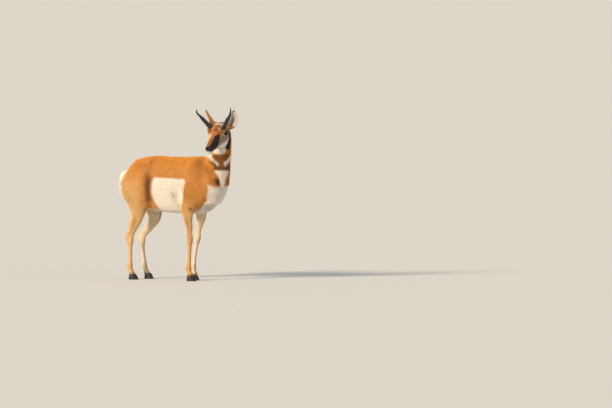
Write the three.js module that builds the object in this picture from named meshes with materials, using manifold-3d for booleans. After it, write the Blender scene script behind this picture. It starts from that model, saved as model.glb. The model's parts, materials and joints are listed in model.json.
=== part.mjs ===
// A young pronghorn buck standing still with its head turned to its right, life size.
// Millimetres. +X is the way the body faces, +Y is the animal's left, +Z is up and the floor is z = 0.
// The body is one smooth field of distances, built from sections along the trunk, neck, head and
// legs. Each sub-part is the surface of that field over its own region, parted by thin cuts.
import * as THREE from "three";
import { mergeVertices } from "three/addons/utils/BufferGeometryUtils.js";
import Module from "manifold-3d";

const wasm = await Module();
wasm.setup();

// Driving dimensions
const GAP = 0.3; // between parts that touch
const ROOT_GAP = 0.6; // round what stands on the skin, such as a horn
const EYE_POINT = new THREE.Vector3(436, -136, 1062); // midway between the eyes
const HEAD_YAW = -86; // degrees from +X to the way the face looks
const HEAD_PITCH = 38; // degrees that the line from eye to nose falls
const HEAD_ROLL = 5; // degrees that the crown leans to the animal's left
const EYE_RADIUS = 23;
const EYE_SIDE = 53; // from the middle of the head to an eyeball's centre
const EYE_RISE = 0;
const EAR_HALF_WIDTH = 32;
const CLAW_HEIGHT = 40;
const CLAW_LENGTH = 66;
const CLAW_HALF_WIDTH = 12.5;
const LEG_PART = 325; // height of the cut between upper and lower leg

// Trunk: x, top, belly, half width
const TRUNK_SECTIONS = [
  [-412, 690, 645, 24],
  [-400, 724, 622, 54],
  [-372, 764, 590, 82],
  [-325, 806, 562, 104],
  [-265, 846, 538, 120],
  [-190, 871, 506, 130],
  [-100, 877, 485, 141],
  [0, 873, 477, 147],
  [90, 873, 474, 145],
  [170, 877, 473, 134],
  [235, 879, 478, 122],
  [290, 864, 494, 109],
  [335, 832, 528, 96],
  [376, 786, 576, 78],
  [400, 740, 622, 52],
  [411, 708, 660, 22],
];

// Neck: z, centre x, centre y, turn of the throat in degrees, half depth, half width
const NECK_SECTIONS = [
  [570, 312, 0, 0, 66, 68],
  [640, 318, 0, 0, 92, 90],
  [720, 338, 0, -5, 105, 88],
  [770, 357, -3, -12, 101, 78],
  [813, 375, -8, -21, 92, 70],
  [870, 388, -20, -34, 84, 77],
  [919, 405, -23, -46, 73, 66],
  [970, 425, -26, -60, 61, 53],
  [1025, 432, -34, -74, 57, 50],
  [1072, 434, -44, -84, 46, 43],
  [1104, 434, -54, -86, 24, 24],
];

// Head, in its own frame: s towards the nose, half width, top, underside
const HEAD_SECTIONS = [
  [-98, 20, 4, -26],
  [-88, 36, 15, -48],
  [-66, 48, 27, -74],
  [-35, 56, 37, -98],
  [0, 61, 44, -109],
  [30, 59, 41, -107],
  [62, 52, 29, -97],
  [95, 43.5, 18, -84],
  [125, 36, 11, -73],
  [150, 31, 7, -66],
  [168, 27.5, 2, -59],
  [180, 21, -6, -49],
  [187, 10, -16, -35],
];

// Foreleg below the trunk: z, half depth, half width, how far the middle lies ahead of the leg's line
const FORELEG_SECTIONS = [
  [20, 20, 21, 8],
  [44, 21, 22, 7],
  [66, 18, 19, 1],
  [88, 21, 20, -4],
  [108, 19, 18, -3],
  [132, 14, 13.5, 0],
  [200, 13, 12.5, 0],
  [250, 15, 14.5, 0],
  [278, 21, 20, 1],
  [305, 22.5, 21.5, 2],
  [335, 20, 20, 0],
  [380, 24, 22, 2],
  [430, 32, 27, 4],
  [480, 42, 31, 6],
  [520, 55, 34, 18],
  [560, 78, 37, 40],
  [620, 92, 40, 58],
  [690, 92, 38, 64],
  [760, 78, 31, 58],
  [820, 58, 20, 50],
  [855, 36, 10, 48],
];

// Hind leg: z, half depth, half width, how far the middle lies ahead of the leg's line
const HINDLEG_SECTIONS = [
  [20, 20, 21, 8],
  [44, 21, 22, 7],
  [66, 18, 19, 1],
  [88, 21, 20, -4],
  [108, 19, 18, -3],
  [134, 14.5, 13, 0],
  [200, 14.5, 13, 0],
  [240, 18, 15, -1],
  [268, 26, 18.5, -2],
  [292, 31, 20, -5],
  [316, 31, 20, -7],
  [345, 30, 20, -1],
  [380, 38, 24, 2],
  [430, 46, 31, 4],
  [480, 58, 40, 4],
  [530, 80, 49, 2],
  [580, 111, 57, -5],
  [640, 135, 63, -12],
  [700, 130, 62, -4],
  [760, 99, 52, 10],
  [810, 66, 36, 20],
  [845, 34, 18, 26],
];

// Legs: where each line passes at the heights in LEG_JOINTS, with +Y the animal's left
const LEG_JOINTS = [0, 95, 290, 370, 440, 560, 860];
const LEGS = [
  {
    name: "foreleg_right",
    side: -1,
    sections: FORELEG_SECTIONS,
    reach: [176, 168, 177, 175, 163, 160, 158],
    spread: [74, 75, 80, 84, 89, 92, 50],
  },
  {
    name: "foreleg_left",
    side: 1,
    sections: FORELEG_SECTIONS,
    reach: [120, 122, 148, 157, 171, 166, 158],
    spread: [74, 75, 80, 84, 88, 92, 50],
  },
  {
    name: "hindleg_right",
    side: -1,
    sections: HINDLEG_SECTIONS,
    reach: [-296, -309, -309, -281, -252, -232, -262],
    spread: [72, 74, 76, 81, 88, 86, 40],
  },
  {
    name: "hindleg_left",
    side: 1,
    sections: HINDLEG_SECTIONS,
    reach: [-252, -276, -298, -240, -206, -228, -262],
    spread: [72, 74, 76, 81, 88, 86, 40],
  },
];

// Muscle and bone that show through the coat, and hollows between them, on both sides:
// middle x, y, z, half sizes along x, y, z, width of the fillet
const SWELLS = [
  [-212, 82, 808, 50, 25, 26, 30], // point of the hip
  [-356, 46, 724, 34, 25, 36, 28], // seat bone
  [294, 82, 648, 44, 36, 60, 36], // point of the shoulder
  [206, 96, 642, 62, 48, 84, 36], // upper arm
  [224, 78, 762, 50, 41, 88, 34], // shoulder blade
];
const HOLLOWS = [
  [-92, 186, 738, 66, 64, 88, 30], // flank
  [120, 188, 600, 38, 64, 96, 26], // behind the elbow
  [322, 148, 772, 38, 60, 72, 30], // between neck and shoulder
];

const FUR_TAN = 0xc98645;
const FUR_WHITE = 0xf1e6d2;
const FUR_RUMP = 0xf4ecdc;
const HORN_BLACK = 0x1d1a19;
const EYE_BLACK = 0x0b0807;

const radians = THREE.MathUtils.degToRad;
const vec = (x, y, z) => new THREE.Vector3(x, y, z);

// A smooth curve through rows of [place, value, value, ...] that never overshoots them, sampled
// into a table. Returns a function from a place to its values.
function track(rows) {
  const STEPS = 512;
  const first = rows[0][0];
  const last = rows[rows.length - 1][0];
  const columns = rows[0].length - 1;
  const width = rows.slice(1).map((row, i) => row[0] - rows[i][0]);
  const tables = [];
  for (let c = 1; c <= columns; c++) {
    const slope = rows.slice(1).map((row, i) => (row[c] - rows[i][c]) / width[i]);
    const tangent = rows.map((_, i) => {
      if (i === 0) return slope[0];
      if (i === rows.length - 1) return slope[i - 1];
      if (slope[i - 1] * slope[i] <= 0) return 0;
      const before = 2 * width[i] + width[i - 1];
      const after = width[i] + 2 * width[i - 1];
      return (before + after) / (before / slope[i - 1] + after / slope[i]);
    });
    const table = new Float64Array(STEPS + 1);
    let i = 0;
    for (let k = 0; k <= STEPS; k++) {
      const place = first + ((last - first) * k) / STEPS;
      while (i < width.length - 1 && place > rows[i + 1][0]) i++;
      const t = (place - rows[i][0]) / width[i];
      const s = 1 - t;
      table[k] =
        rows[i][c] * (1 + 2 * t) * s * s +
        width[i] * tangent[i] * t * s * s +
        rows[i + 1][c] * t * t * (3 - 2 * t) -
        width[i] * tangent[i + 1] * t * t * s;
    }
    tables.push(table);
  }
  const out = new Float64Array(columns);
  return (place) => {
    const k = THREE.MathUtils.clamp(((place - first) / (last - first)) * STEPS, 0, STEPS);
    const low = Math.min(Math.floor(k), STEPS - 1);
    const part = k - low;
    for (let c = 0; c < columns; c++) {
      out[c] = tables[c][low] * (1 - part) + tables[c][low + 1] * part;
    }
    return out;
  };
}

// Signed distance, nearly, to an ellipse of half axes a and b
function ellipse(x, y, a, b) {
  const k = Math.hypot(x / a, y / b);
  const grade = Math.hypot(x / (a * a), y / (b * b));
  return grade < 1e-9 ? -Math.min(a, b) : (k * (k - 1)) / grade;
}

function ellipsoid(x, y, z, a, b, c) {
  const k = Math.hypot(x / a, y / b, z / c);
  const grade = Math.hypot(x / (a * a), y / (b * b), z / (c * c));
  return grade < 1e-9 ? -Math.min(a, b, c) : (k * (k - 1)) / grade;
}

// Distance past the ends of a stretch, joined to the distance from its side
function capped(side, place, low, high) {
  const past = Math.max(low - place, place - high);
  return past > 0 ? Math.hypot(Math.max(side, 0), past) : Math.max(side, past);
}

// Union of two distances with a fillet about as wide as reach
function join(a, b, reach) {
  const h = Math.max(reach - Math.abs(a - b), 0) / reach;
  return Math.min(a, b) - h * h * reach * 0.25;
}

const trunkAt = track(TRUNK_SECTIONS);
function trunk(p) {
  const [top, belly, half] = trunkAt(p.x);
  const side = ellipse(p.y, p.z - (top + belly) / 2, half, (top - belly) / 2);
  return capped(side, p.x, TRUNK_SECTIONS[0][0], TRUNK_SECTIONS.at(-1)[0]);
}

const neckAt = track(NECK_SECTIONS);
function neck(p) {
  const [x, y, turn, deep, wide] = neckAt(p.z);
  const c = Math.cos(radians(turn));
  const s = Math.sin(radians(turn));
  const along = (p.x - x) * c + (p.y - y) * s;
  const across = (p.y - y) * c - (p.x - x) * s;
  const side = ellipse(along, across, deep, wide);
  return capped(side, p.z, NECK_SECTIONS[0][0], NECK_SECTIONS.at(-1)[0]);
}

// A leg's section is level, so it is stretched where the leg slants forward or back
const SLANT_REACH = 12;
const legFields = LEGS.map((leg) => {
  const shape = track(leg.sections);
  const line = track(LEG_JOINTS.map((z, i) => [z, leg.reach[i], leg.spread[i]]));
  const low = leg.sections[0][0];
  const high = leg.sections.at(-1)[0];
  return (p) => {
    const [xAbove] = line(p.z + SLANT_REACH);
    const [x, y] = line(p.z);
    const slant = Math.hypot(1, (xAbove - x) / SLANT_REACH);
    const [deep, wide, ahead] = shape(p.z);
    const side = ellipse(p.x - x - ahead, p.y - leg.side * y, deep * slant, wide);
    return capped(side, p.z, low, high);
  };
});

// The head's frame: s towards the nose, l to the animal's left, t towards the crown
const headFrame = new THREE.Matrix4()
  .makeTranslation(EYE_POINT.x, EYE_POINT.y, EYE_POINT.z)
  .multiply(new THREE.Matrix4().makeRotationZ(radians(HEAD_YAW)))
  .multiply(new THREE.Matrix4().makeRotationX(radians(-HEAD_ROLL)))
  .multiply(new THREE.Matrix4().makeRotationY(radians(HEAD_PITCH)));
const toHead = headFrame.clone().invert();

const headAt = track(HEAD_SECTIONS);
function skull(s, l, t) {
  const [half, top, low] = headAt(s);
  const side = ellipse(l, t - (top + low) / 2, half, (top - low) / 2);
  return capped(side, s, HEAD_SECTIONS[0][0], HEAD_SECTIONS.at(-1)[0]);
}

// The head with its brows, cheeks, ear roots, nose pad, lips and chin. Both sides are alike.
function head(q) {
  const l = Math.abs(q.y);
  const [s, t] = [q.x, q.z];
  let d = skull(s, l, t);
  d = join(d, ellipsoid(s + 2, l - 46, t + 1, 37, 25, 30), 16); // orbit
  d = join(d, ellipsoid(s - 2, l - 50, t - 24, 27, 20, 14), 14); // brow under the horn
  d = join(d, ellipsoid(s - 2, l - 30, t + 62, 52, 26, 44), 18); // cheek
  d = join(d, ellipsoid(s + 56, l - 42, t - 8, 24, 20, 24), 16); // root of the ear
  d = join(d, ellipsoid(s - 172, l - 11, t + 13, 15, 14, 14), 8); // wing of the nostril
  d = join(d, ellipsoid(s - 150, l - 18, t + 33, 34, 12, 12), 8); // upper lip
  d = join(d, ellipsoid(s - 153, l, t + 57, 24, 18, 13), 8); // chin
  return d;
}

const formAt = (x, y, z, [x0, y0, z0, a, b, c]) => ellipsoid(x - x0, y - y0, z - z0, a, b, c);

const SHOULDER_FILLET = 34;
const NECK_FILLET = 60;
const THROAT_FILLET = 26;
const scratch = new THREE.Vector3();
function body(p) {
  let d = join(trunk(p), neck(p), NECK_FILLET);
  for (const leg of legFields) d = join(d, leg(p), SHOULDER_FILLET);
  const y = Math.abs(p.y);
  for (const form of SWELLS) d = join(d, formAt(p.x, y, p.z, form), form[6]);
  for (const form of HOLLOWS) d = -join(-d, formAt(p.x, y, p.z, form), form[6]);
  scratch.copy(p).applyMatrix4(toHead);
  return join(d, head(scratch), THROAT_FILLET);
}
const scratchHead = new THREE.Vector3();
const bodyFromHead = (q) => body(scratchHead.copy(q).applyMatrix4(headFrame));

// The twelve edges of a cell, as pairs of corners. A corner's bits say which of its sides are far.
const CELL_EDGES = [];
for (const bit of [1, 2, 4]) {
  for (let a = 0; a < 8; a++) if (!(a & bit)) CELL_EDGES.push([a, a | bit]);
}
const CELL_FACES = [1, 2, 4].flatMap((bit) => [0, bit].map((side) => ({ bit, side })));

// For a cell whose corners in `mask` are inside: the number of separate sheets in it, and which
// of them crosses each edge. Two inside corners that face each other across a side stay apart.
function sheetsOf(mask) {
  const inside = (corner) => Boolean(mask & (1 << corner));
  const sheet = CELL_EDGES.map(([a, b], i) => (inside(a) === inside(b) ? -1 : i));
  const merge = (i, j) => {
    const [keep, drop] = [sheet[i], sheet[j]];
    for (let e = 0; e < 12; e++) if (sheet[e] === drop) sheet[e] = keep;
  };
  for (const { bit, side } of CELL_FACES) {
    const onFace = (corner) => (corner & bit) === side;
    const crossed = CELL_EDGES.map((_, i) => i).filter((i) => sheet[i] >= 0 && CELL_EDGES[i].every(onFace));
    if (crossed.length === 2) merge(crossed[0], crossed[1]);
    if (crossed.length === 4) {
      const cornerOf = (i) => CELL_EDGES[i].find(inside);
      for (const i of crossed) for (const j of crossed) if (cornerOf(i) === cornerOf(j)) merge(i, j);
    }
  }
  const names = [...new Set(sheet.filter((i) => i >= 0))];
  return { count: names.length, of: sheet.map((i) => names.indexOf(i)) };
}
const SHEETS = Array.from({ length: 256 }, (_, mask) => sheetsOf(mask));

// Cells by which a grid starts ahead of its box, not whole, so no row of it lies on a side of it
const GRID_LEAD = 1.618;

// The surface where a field is zero inside a box, as a closed geometry: one vertex for each sheet
// of it in each cell, moved onto the surface, and one four-sided face for each crossed edge.
function surface(field, box, cell) {
  const size = box.getSize(new THREE.Vector3());
  const middle = box.getCenter(new THREE.Vector3());
  const count = [size.x / cell.x, size.y / cell.y, size.z / cell.z].map((n) => Math.ceil(n) + 4);
  const start = box.min.clone().addScaledVector(cell, -GRID_LEAD);
  const inBox = (p) =>
    Math.max(
      field(p),
      Math.abs(p.x - middle.x) - size.x / 2,
      Math.abs(p.y - middle.y) - size.y / 2,
      Math.abs(p.z - middle.z) - size.z / 2,
    );
  const probe = new THREE.Vector3();
  const place = (i, j, k) => probe.set(start.x + i * cell.x, start.y + j * cell.y, start.z + k * cell.z);
  const stride = [1, count[0], count[0] * count[1]];
  const at = (i, j, k) => i + stride[1] * j + stride[2] * k;
  const value = new Float64Array(stride[2] * count[2]);
  eachCell([0, 0, 0], count, (i, j, k) => {
    value[at(i, j, k)] = inBox(place(i, j, k));
  });

  const offset = [0, 1, 2, 3, 4, 5, 6, 7].map((a) => at(a & 1, (a >> 1) & 1, (a >> 2) & 1));
  const maskOf = new Uint8Array(value.length);
  const firstOf = new Int32Array(value.length);
  const vertices = [];
  eachCell([0, 0, 0], [count[0] - 1, count[1] - 1, count[2] - 1], (i, j, k) => {
    const here = at(i, j, k);
    for (let a = 0; a < 8; a++) if (value[here + offset[a]] < 0) maskOf[here] |= 1 << a;
    const sheets = SHEETS[maskOf[here]];
    firstOf[here] = vertices.length / 3;
    for (let n = 0; n < sheets.count; n++) {
      const sum = new THREE.Vector3();
      let crossings = 0;
      CELL_EDGES.forEach(([a, b], e) => {
        if (sheets.of[e] !== n) return;
        const t = value[here + offset[a]] / (value[here + offset[a]] - value[here + offset[b]]);
        sum.x += (a & 1) + ((b & 1) - (a & 1)) * t;
        sum.y += ((a >> 1) & 1) + (((b >> 1) & 1) - ((a >> 1) & 1)) * t;
        sum.z += ((a >> 2) & 1) + (((b >> 2) & 1) - ((a >> 2) & 1)) * t;
        crossings++;
      });
      sum.divideScalar(crossings);
      const p = place(i + sum.x, j + sum.y, k + sum.z);
      settle(inBox, p, Math.min(cell.x, cell.y, cell.z));
      vertices.push(p.x, p.y, p.z);
    }
  });

  const faces = [];
  eachCell([1, 1, 1], [count[0] - 1, count[1] - 1, count[2] - 1], (i, j, k) => {
    const here = at(i, j, k);
    for (let axis = 0; axis < 3; axis++) {
      const inside = value[here] < 0;
      if (inside === value[here + stride[axis]] < 0) continue;
      const [u, v] = [(axis + 1) % 3, (axis + 2) % 3];
      const ring = [[0, 0], [1, 0], [1, 1], [0, 1]].map(([backU, backV]) => {
        const owner = here - backU * stride[u] - backV * stride[v];
        const corner = (backU << u) | (backV << v);
        const edge = CELL_EDGES.findIndex(([a, b]) => a === corner && b === (corner | (1 << axis)));
        return firstOf[owner] + SHEETS[maskOf[owner]].of[edge];
      });
      if (!inside) ring.reverse();
      faces.push(ring[0], ring[1], ring[2], ring[0], ring[2], ring[3]);
    }
  });
  return new THREE.BufferGeometry()
    .setAttribute("position", new THREE.Float32BufferAttribute(vertices, 3))
    .setIndex(faces);
}

function eachCell(from, to, visit) {
  for (let k = from[2]; k < to[2]; k++) {
    for (let j = from[1]; j < to[1]; j++) {
      for (let i = from[0]; i < to[0]; i++) visit(i, j, k);
    }
  }
}

// Moves a point onto the surface of a field, by at most one cell
function settle(field, p, cell) {
  const STEP = 0.5;
  const from = p.clone();
  const q = p.clone();
  for (let round = 0; round < 3; round++) {
    const d = field(p);
    const slope = vec(0, 0, 0);
    for (const axis of ["x", "y", "z"]) {
      q.copy(p)[axis] += STEP;
      slope[axis] = (field(q) - d) / STEP;
    }
    const steep = slope.lengthSq();
    if (steep < 0.05) return;
    p.addScaledVector(slope, -d / steep);
    if (p.distanceTo(from) > cell) {
      p.sub(from).setLength(cell).add(from);
      return;
    }
  }
}

// A three.js geometry as a solid that can be joined and cut, and back again
function solidOf(geometry, matrix = new THREE.Matrix4()) {
  const bare = new THREE.BufferGeometry()
    .setAttribute("position", geometry.getAttribute("position").clone())
    .setIndex(geometry.index)
    .applyMatrix4(matrix);
  const seams = geometry.hasAttribute("normal");
  const merged = seams ? mergeVertices(bare, 1e-4) : bare;
  const triVerts = new Uint32Array(merged.index.array);
  const vertProperties = merged.attributes.position.array;
  return new wasm.Manifold(new wasm.Mesh({ numProp: 3, vertProperties, triVerts }));
}

function geometryOf(solid) {
  const largest = solid.decompose().sort((a, b) => b.volume() - a.volume())[0];
  const { numProp, vertProperties, triVerts } = largest.getMesh();
  const position = new Float32Array((vertProperties.length / numProp) * 3);
  for (let i = 0; i < position.length / 3; i++) {
    position.set(vertProperties.subarray(i * numProp, i * numProp + 3), i * 3);
  }
  return new THREE.BufferGeometry()
    .setAttribute("position", new THREE.BufferAttribute(position, 3))
    .setIndex(new THREE.BufferAttribute(triVerts, 1));
}

// A closed skin over rings of points, each ring with the same number of points, with flat ends
function loft(rings) {
  const n = rings[0].length;
  const position = [];
  for (const ring of rings) for (const p of ring) position.push(p.x, p.y, p.z);
  for (const ring of [rings[0], rings.at(-1)]) {
    const middle = ring.reduce((sum, p) => sum.add(p), vec(0, 0, 0)).divideScalar(n);
    position.push(middle.x, middle.y, middle.z);
  }
  const foot = rings.length * n;
  const faces = [];
  for (let r = 0; r < rings.length - 1; r++) {
    for (let i = 0; i < n; i++) {
      const a = r * n + i;
      const b = r * n + ((i + 1) % n);
      faces.push(a, b, b + n, a, b + n, a + n);
    }
  }
  const top = (rings.length - 1) * n;
  for (let i = 0; i < n; i++) {
    faces.push(foot, (i + 1) % n, i, foot + 1, top + i, top + ((i + 1) % n));
  }
  return new THREE.BufferGeometry()
    .setAttribute("position", new THREE.Float32BufferAttribute(position, 3))
    .setIndex(faces);
}

// Rings square to a curve. half(t) gives the half sizes along the ring's own two directions,
// the first of them as near to `face` as it can be.
function ringsAlong(curve, steps, sides, face, half) {
  const rings = [];
  for (let i = 0; i <= steps; i++) {
    const t = i / steps;
    const way = curve.getTangentAt(t);
    const first = face.clone().addScaledVector(way, -face.dot(way)).normalize();
    const second = way.clone().cross(first);
    const [a, b] = half(t);
    const centre = curve.getPointAt(t);
    const ring = [];
    for (let k = 0; k < sides; k++) {
      const angle = (2 * Math.PI * k) / sides;
      ring.push(
        centre
          .clone()
          .addScaledVector(first, a * Math.cos(angle))
          .addScaledVector(second, b * Math.sin(angle)),
      );
    }
    rings.push(ring);
  }
  return rings;
}

// A large block under the plane through `point` with the upward direction `normal`
function blockUnder(point, normal, reach) {
  const turn = new THREE.Quaternion().setFromUnitVectors(vec(0, 0, 1), normal.clone().normalize());
  const place = new THREE.Matrix4().compose(point, turn, vec(1, 1, 1));
  return solidOf(new THREE.BoxGeometry(2 * reach, 2 * reach, reach).translate(0, 0, -reach / 2), place);
}

function boxAt(low, high) {
  return new THREE.Box3(vec(...low), vec(...high));
}

function blockOf(box) {
  const size = box.getSize(vec(0, 0, 0));
  const middle = box.getCenter(vec(0, 0, 0));
  return solidOf(new THREE.BoxGeometry(size.x, size.y, size.z).translate(middle.x, middle.y, middle.z));
}

function furMesh(name, geometry, color) {
  const coat = new THREE.MeshStandardMaterial({ color, roughness: 0.9, metalness: 0 });
  const mesh = new THREE.Mesh(geometry, coat);
  mesh.name = name;
  return mesh;
}

// Cuts between the trunk and each leg, all along planes that slope up from the groin or armpit
const FORELEG_CUT = { x: 170, y: 50, z: 468, rise: 0.72, back: 0 };
const HINDLEG_CUT = { x: -118, y: 0, z: 470, rise: 0.55, back: 0.35 };

function legBlock(leg, slack) {
  const cut = leg.sections === FORELEG_SECTIONS ? FORELEG_CUT : HINDLEG_CUT;
  const normal = vec(cut.back, -leg.side * cut.rise, 1);
  const under = blockUnder(vec(cut.x, leg.side * cut.y, cut.z + slack), normal, 700);
  const front = leg.sections === FORELEG_SECTIONS;
  const inner = leg.side > 0 ? [0.5 - slack, 300] : [-300, slack - 0.5];
  const low = [front ? 20 : -520, Math.min(...inner), -10];
  const high = [front ? 300 : -117 + slack, Math.max(...inner), 640];
  return under.intersect(blockOf(boxAt(low, high)));
}

// Cut between trunk and neck, from the withers to the front of the chest
const NECK_CUT_POINT = vec(300, 0, 850);
const NECK_CUT_NORMAL = vec(0.81, 0, 0.588);

// Cuts round the head, in its own frame: behind the ears and jaw, and under the throat
const NAPE_CUT_POINT = vec(-88, 0, 44);
const NAPE_CUT_NORMAL = vec(0.95, 0, 0.316);
const THROAT_CUT = -116;

function headBlock(slack) {
  const point = NAPE_CUT_POINT.clone().addScaledVector(NAPE_CUT_NORMAL, -slack);
  const room = blockOf(boxAt([-300, -220, THROAT_CUT - slack], [260, 220, 260]));
  return room.subtract(blockUnder(point, NAPE_CUT_NORMAL, 900));
}

const TORSO_BOX = boxAt([-440, -190, 420], [450, 190, 960]);
const TORSO_CELL = vec(36, 33, 35);
const trunkSkin = (room) => solidOf(surface((p) => body(p) - room, TORSO_BOX, TORSO_CELL));

function makeTorso() {
  let solid = trunkSkin(0);
  for (const leg of LEGS) solid = solid.subtract(legBlock(leg, GAP));
  const neckSide = blockUnder(NECK_CUT_POINT, NECK_CUT_NORMAL.clone().negate(), 900);
  return furMesh("torso", geometryOf(solid.subtract(neckSide)), FUR_TAN);
}

// Mane: flat locks down the nape, in rows from the poll to the withers, each row shifted by half a
// lock. A lock is rooted under the skin and rises to MANE_LIFT at its tip.
const MANE_TOP = 1078;
const MANE_FOOT = 905;
const MANE_ROWS = 8;
const MANE_SPREAD = 0.3; // radians round the nape between neighbours
const MANE_LENGTH = 56;
const MANE_ROOT = -5;
const MANE_LIFT = 7;
const LOCK_HALF_WIDTH = 9;
const LOCK_HALF_DEPTH = 2.6;

// The point of the nape at a height, turned round the neck by an angle, `rise` outside the skin
function napeAt(z, angle, rise) {
  const [x, y, turn] = neckAt(z);
  const facing = radians(turn) + Math.PI + angle;
  const out = vec(Math.cos(facing), Math.sin(facing), 0);
  let [low, high] = [10, 160];
  for (let round = 0; round < 20; round++) {
    const middle = (low + high) / 2;
    if (body(vec(x, y, z).addScaledVector(out, middle)) < 0) low = middle;
    else high = middle;
  }
  return { point: vec(x, y, z).addScaledVector(out, low + rise), out };
}

function maneLocks() {
  const locks = [];
  for (let row = 0; row < MANE_ROWS; row++) {
    const z = THREE.MathUtils.lerp(MANE_TOP, MANE_FOOT, row / (MANE_ROWS - 1));
    const angles = row % 2 ? [-0.5, 0.5] : [-1, 0, 1];
    for (const angle of angles.map((step) => step * MANE_SPREAD)) {
      const stops = [0, 0.35, 0.7, 1].map((t) => {
        const rise = THREE.MathUtils.lerp(MANE_ROOT, MANE_LIFT, Math.sqrt(t));
        return napeAt(z - t * MANE_LENGTH, angle * (1 - 0.3 * t), rise);
      });
      const course = new THREE.CatmullRomCurve3(stops.map((stop) => stop.point));
      const rings = ringsAlong(course, 3, 6, stops[0].out, (t) => {
        const taper = t < 0.4 ? 1 : 1 - (t - 0.4) / 0.72;
        return [LOCK_HALF_DEPTH * (1 - 0.7 * t), LOCK_HALF_WIDTH * taper];
      });
      locks.push(solidOf(loft(rings)));
    }
  }
  return locks;
}

function makeNeck() {
  let solid = solidOf(surface(body, boxAt([230, -190, 560], [540, 110, 1140]), vec(26, 24, 27)));
  for (const lock of maneLocks()) solid = solid.add(lock);
  const shift = NECK_CUT_NORMAL.clone().multiplyScalar(GAP);
  const below = blockUnder(NECK_CUT_POINT.clone().add(shift), NECK_CUT_NORMAL, 900);
  const headRoom = headBlock(GAP).transform(headFrame.elements);
  return furMesh("neck", geometryOf(solid.subtract(below).subtract(headRoom)), FUR_TAN);
}

const HEAD_CELL = vec(11.5, 10.5, 11.5);
const HEAD_BOX = boxAt([-130, -100, -150], [205, 100, 80]);
const headSkin = (room) => solidOf(surface((q) => bodyFromHead(q) - room, HEAD_BOX, HEAD_CELL));

function eyeball(side, extra) {
  const ball = new THREE.SphereGeometry(EYE_RADIUS + extra, 16, 10);
  return ball.translate(0, side * EYE_SIDE, EYE_RISE);
}

// Lids: an almond ring that stands round the part of the eyeball that shows
function lids(side) {
  const ring = new THREE.TorusGeometry(18.5, 4.6, 6, 16).scale(1.1, 0.92, 1);
  const way = vec(0.26, side * 0.96, 0.08).normalize();
  const facing = new THREE.Quaternion().setFromUnitVectors(vec(0, 0, 1), way);
  const centre = vec(0, side * EYE_SIDE, EYE_RISE).addScaledVector(way, 13.5);
  return solidOf(ring, new THREE.Matrix4().compose(centre, facing, vec(1, 1, 1)));
}

function nostril(side) {
  const pit = new THREE.SphereGeometry(1, 12, 8).scale(10, 4.2, 4.6);
  const turn = new THREE.Quaternion().setFromEuler(new THREE.Euler(0, radians(28), radians(side * 34)));
  return solidOf(pit, new THREE.Matrix4().compose(vec(180, side * 15.5, -11), turn, vec(1, 1, 1)));
}

// The line of the mouth, from under the nose back to its corner, as deep as MOUTH_DEPTH
const MOUTH_DEPTH = 7;
function mouthLine(core) {
  const line = new THREE.Shape();
  line.moveTo(200, -41);
  line.bezierCurveTo(175, -42, 150, -46, 108, -50);
  line.lineTo(108, -48.6);
  line.bezierCurveTo(150, -43.6, 175, -39.4, 200, -38.4);
  line.closePath();
  const slab = new THREE.ExtrudeGeometry(line, { depth: 120, bevelEnabled: false, curveSegments: 6 });
  slab.rotateX(Math.PI / 2).translate(0, 60, 0);
  return solidOf(slab).subtract(core);
}

function makeHead() {
  let solid = headSkin(0);
  for (const side of [-1, 1]) solid = solid.add(lids(side));
  for (const side of [-1, 1]) solid = solid.subtract(solidOf(eyeball(side, GAP))).subtract(nostril(side));
  solid = solid.subtract(mouthLine(headSkin(-MOUTH_DEPTH)));
  return solid.intersect(headBlock(0));
}

function makeEye(name, side) {
  const glossy = new THREE.MeshStandardMaterial({ color: EYE_BLACK, roughness: 0.08, metalness: 0 });
  const mesh = new THREE.Mesh(new THREE.SphereGeometry(EYE_RADIUS, 16, 10), glossy);
  mesh.name = name;
  mesh.position.set(0, side * EYE_SIDE, EYE_RISE);
  return mesh;
}

// Ear: a leaf-shaped cup. t, half width, half depth
const EAR_SECTIONS = [
  [0, 0.5, 0.5],
  [0.12, 0.78, 0.58],
  [0.3, 1, 0.62],
  [0.5, 1, 0.56],
  [0.7, 0.8, 0.43],
  [0.86, 0.47, 0.27],
  [0.95, 0.23, 0.15],
  [1, 0.07, 0.06],
];
const EAR_WALL = 3;
const earAt = track(EAR_SECTIONS);

// An ear's or horn's course: its root in the head's frame, then steps from there that are level
// and upright in the world, as [ahead, out, up]
const upright = new THREE.Matrix4()
  .makeRotationX(radians(-HEAD_ROLL))
  .multiply(new THREE.Matrix4().makeRotationY(radians(HEAD_PITCH)))
  .invert();
function courseFrom(side, [s, l, t], steps) {
  const root = vec(s, side * l, t);
  return new THREE.CatmullRomCurve3(
    steps.map(([ahead, out, up]) => vec(ahead, side * out, up).applyMatrix4(upright).add(root)),
  );
}

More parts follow.
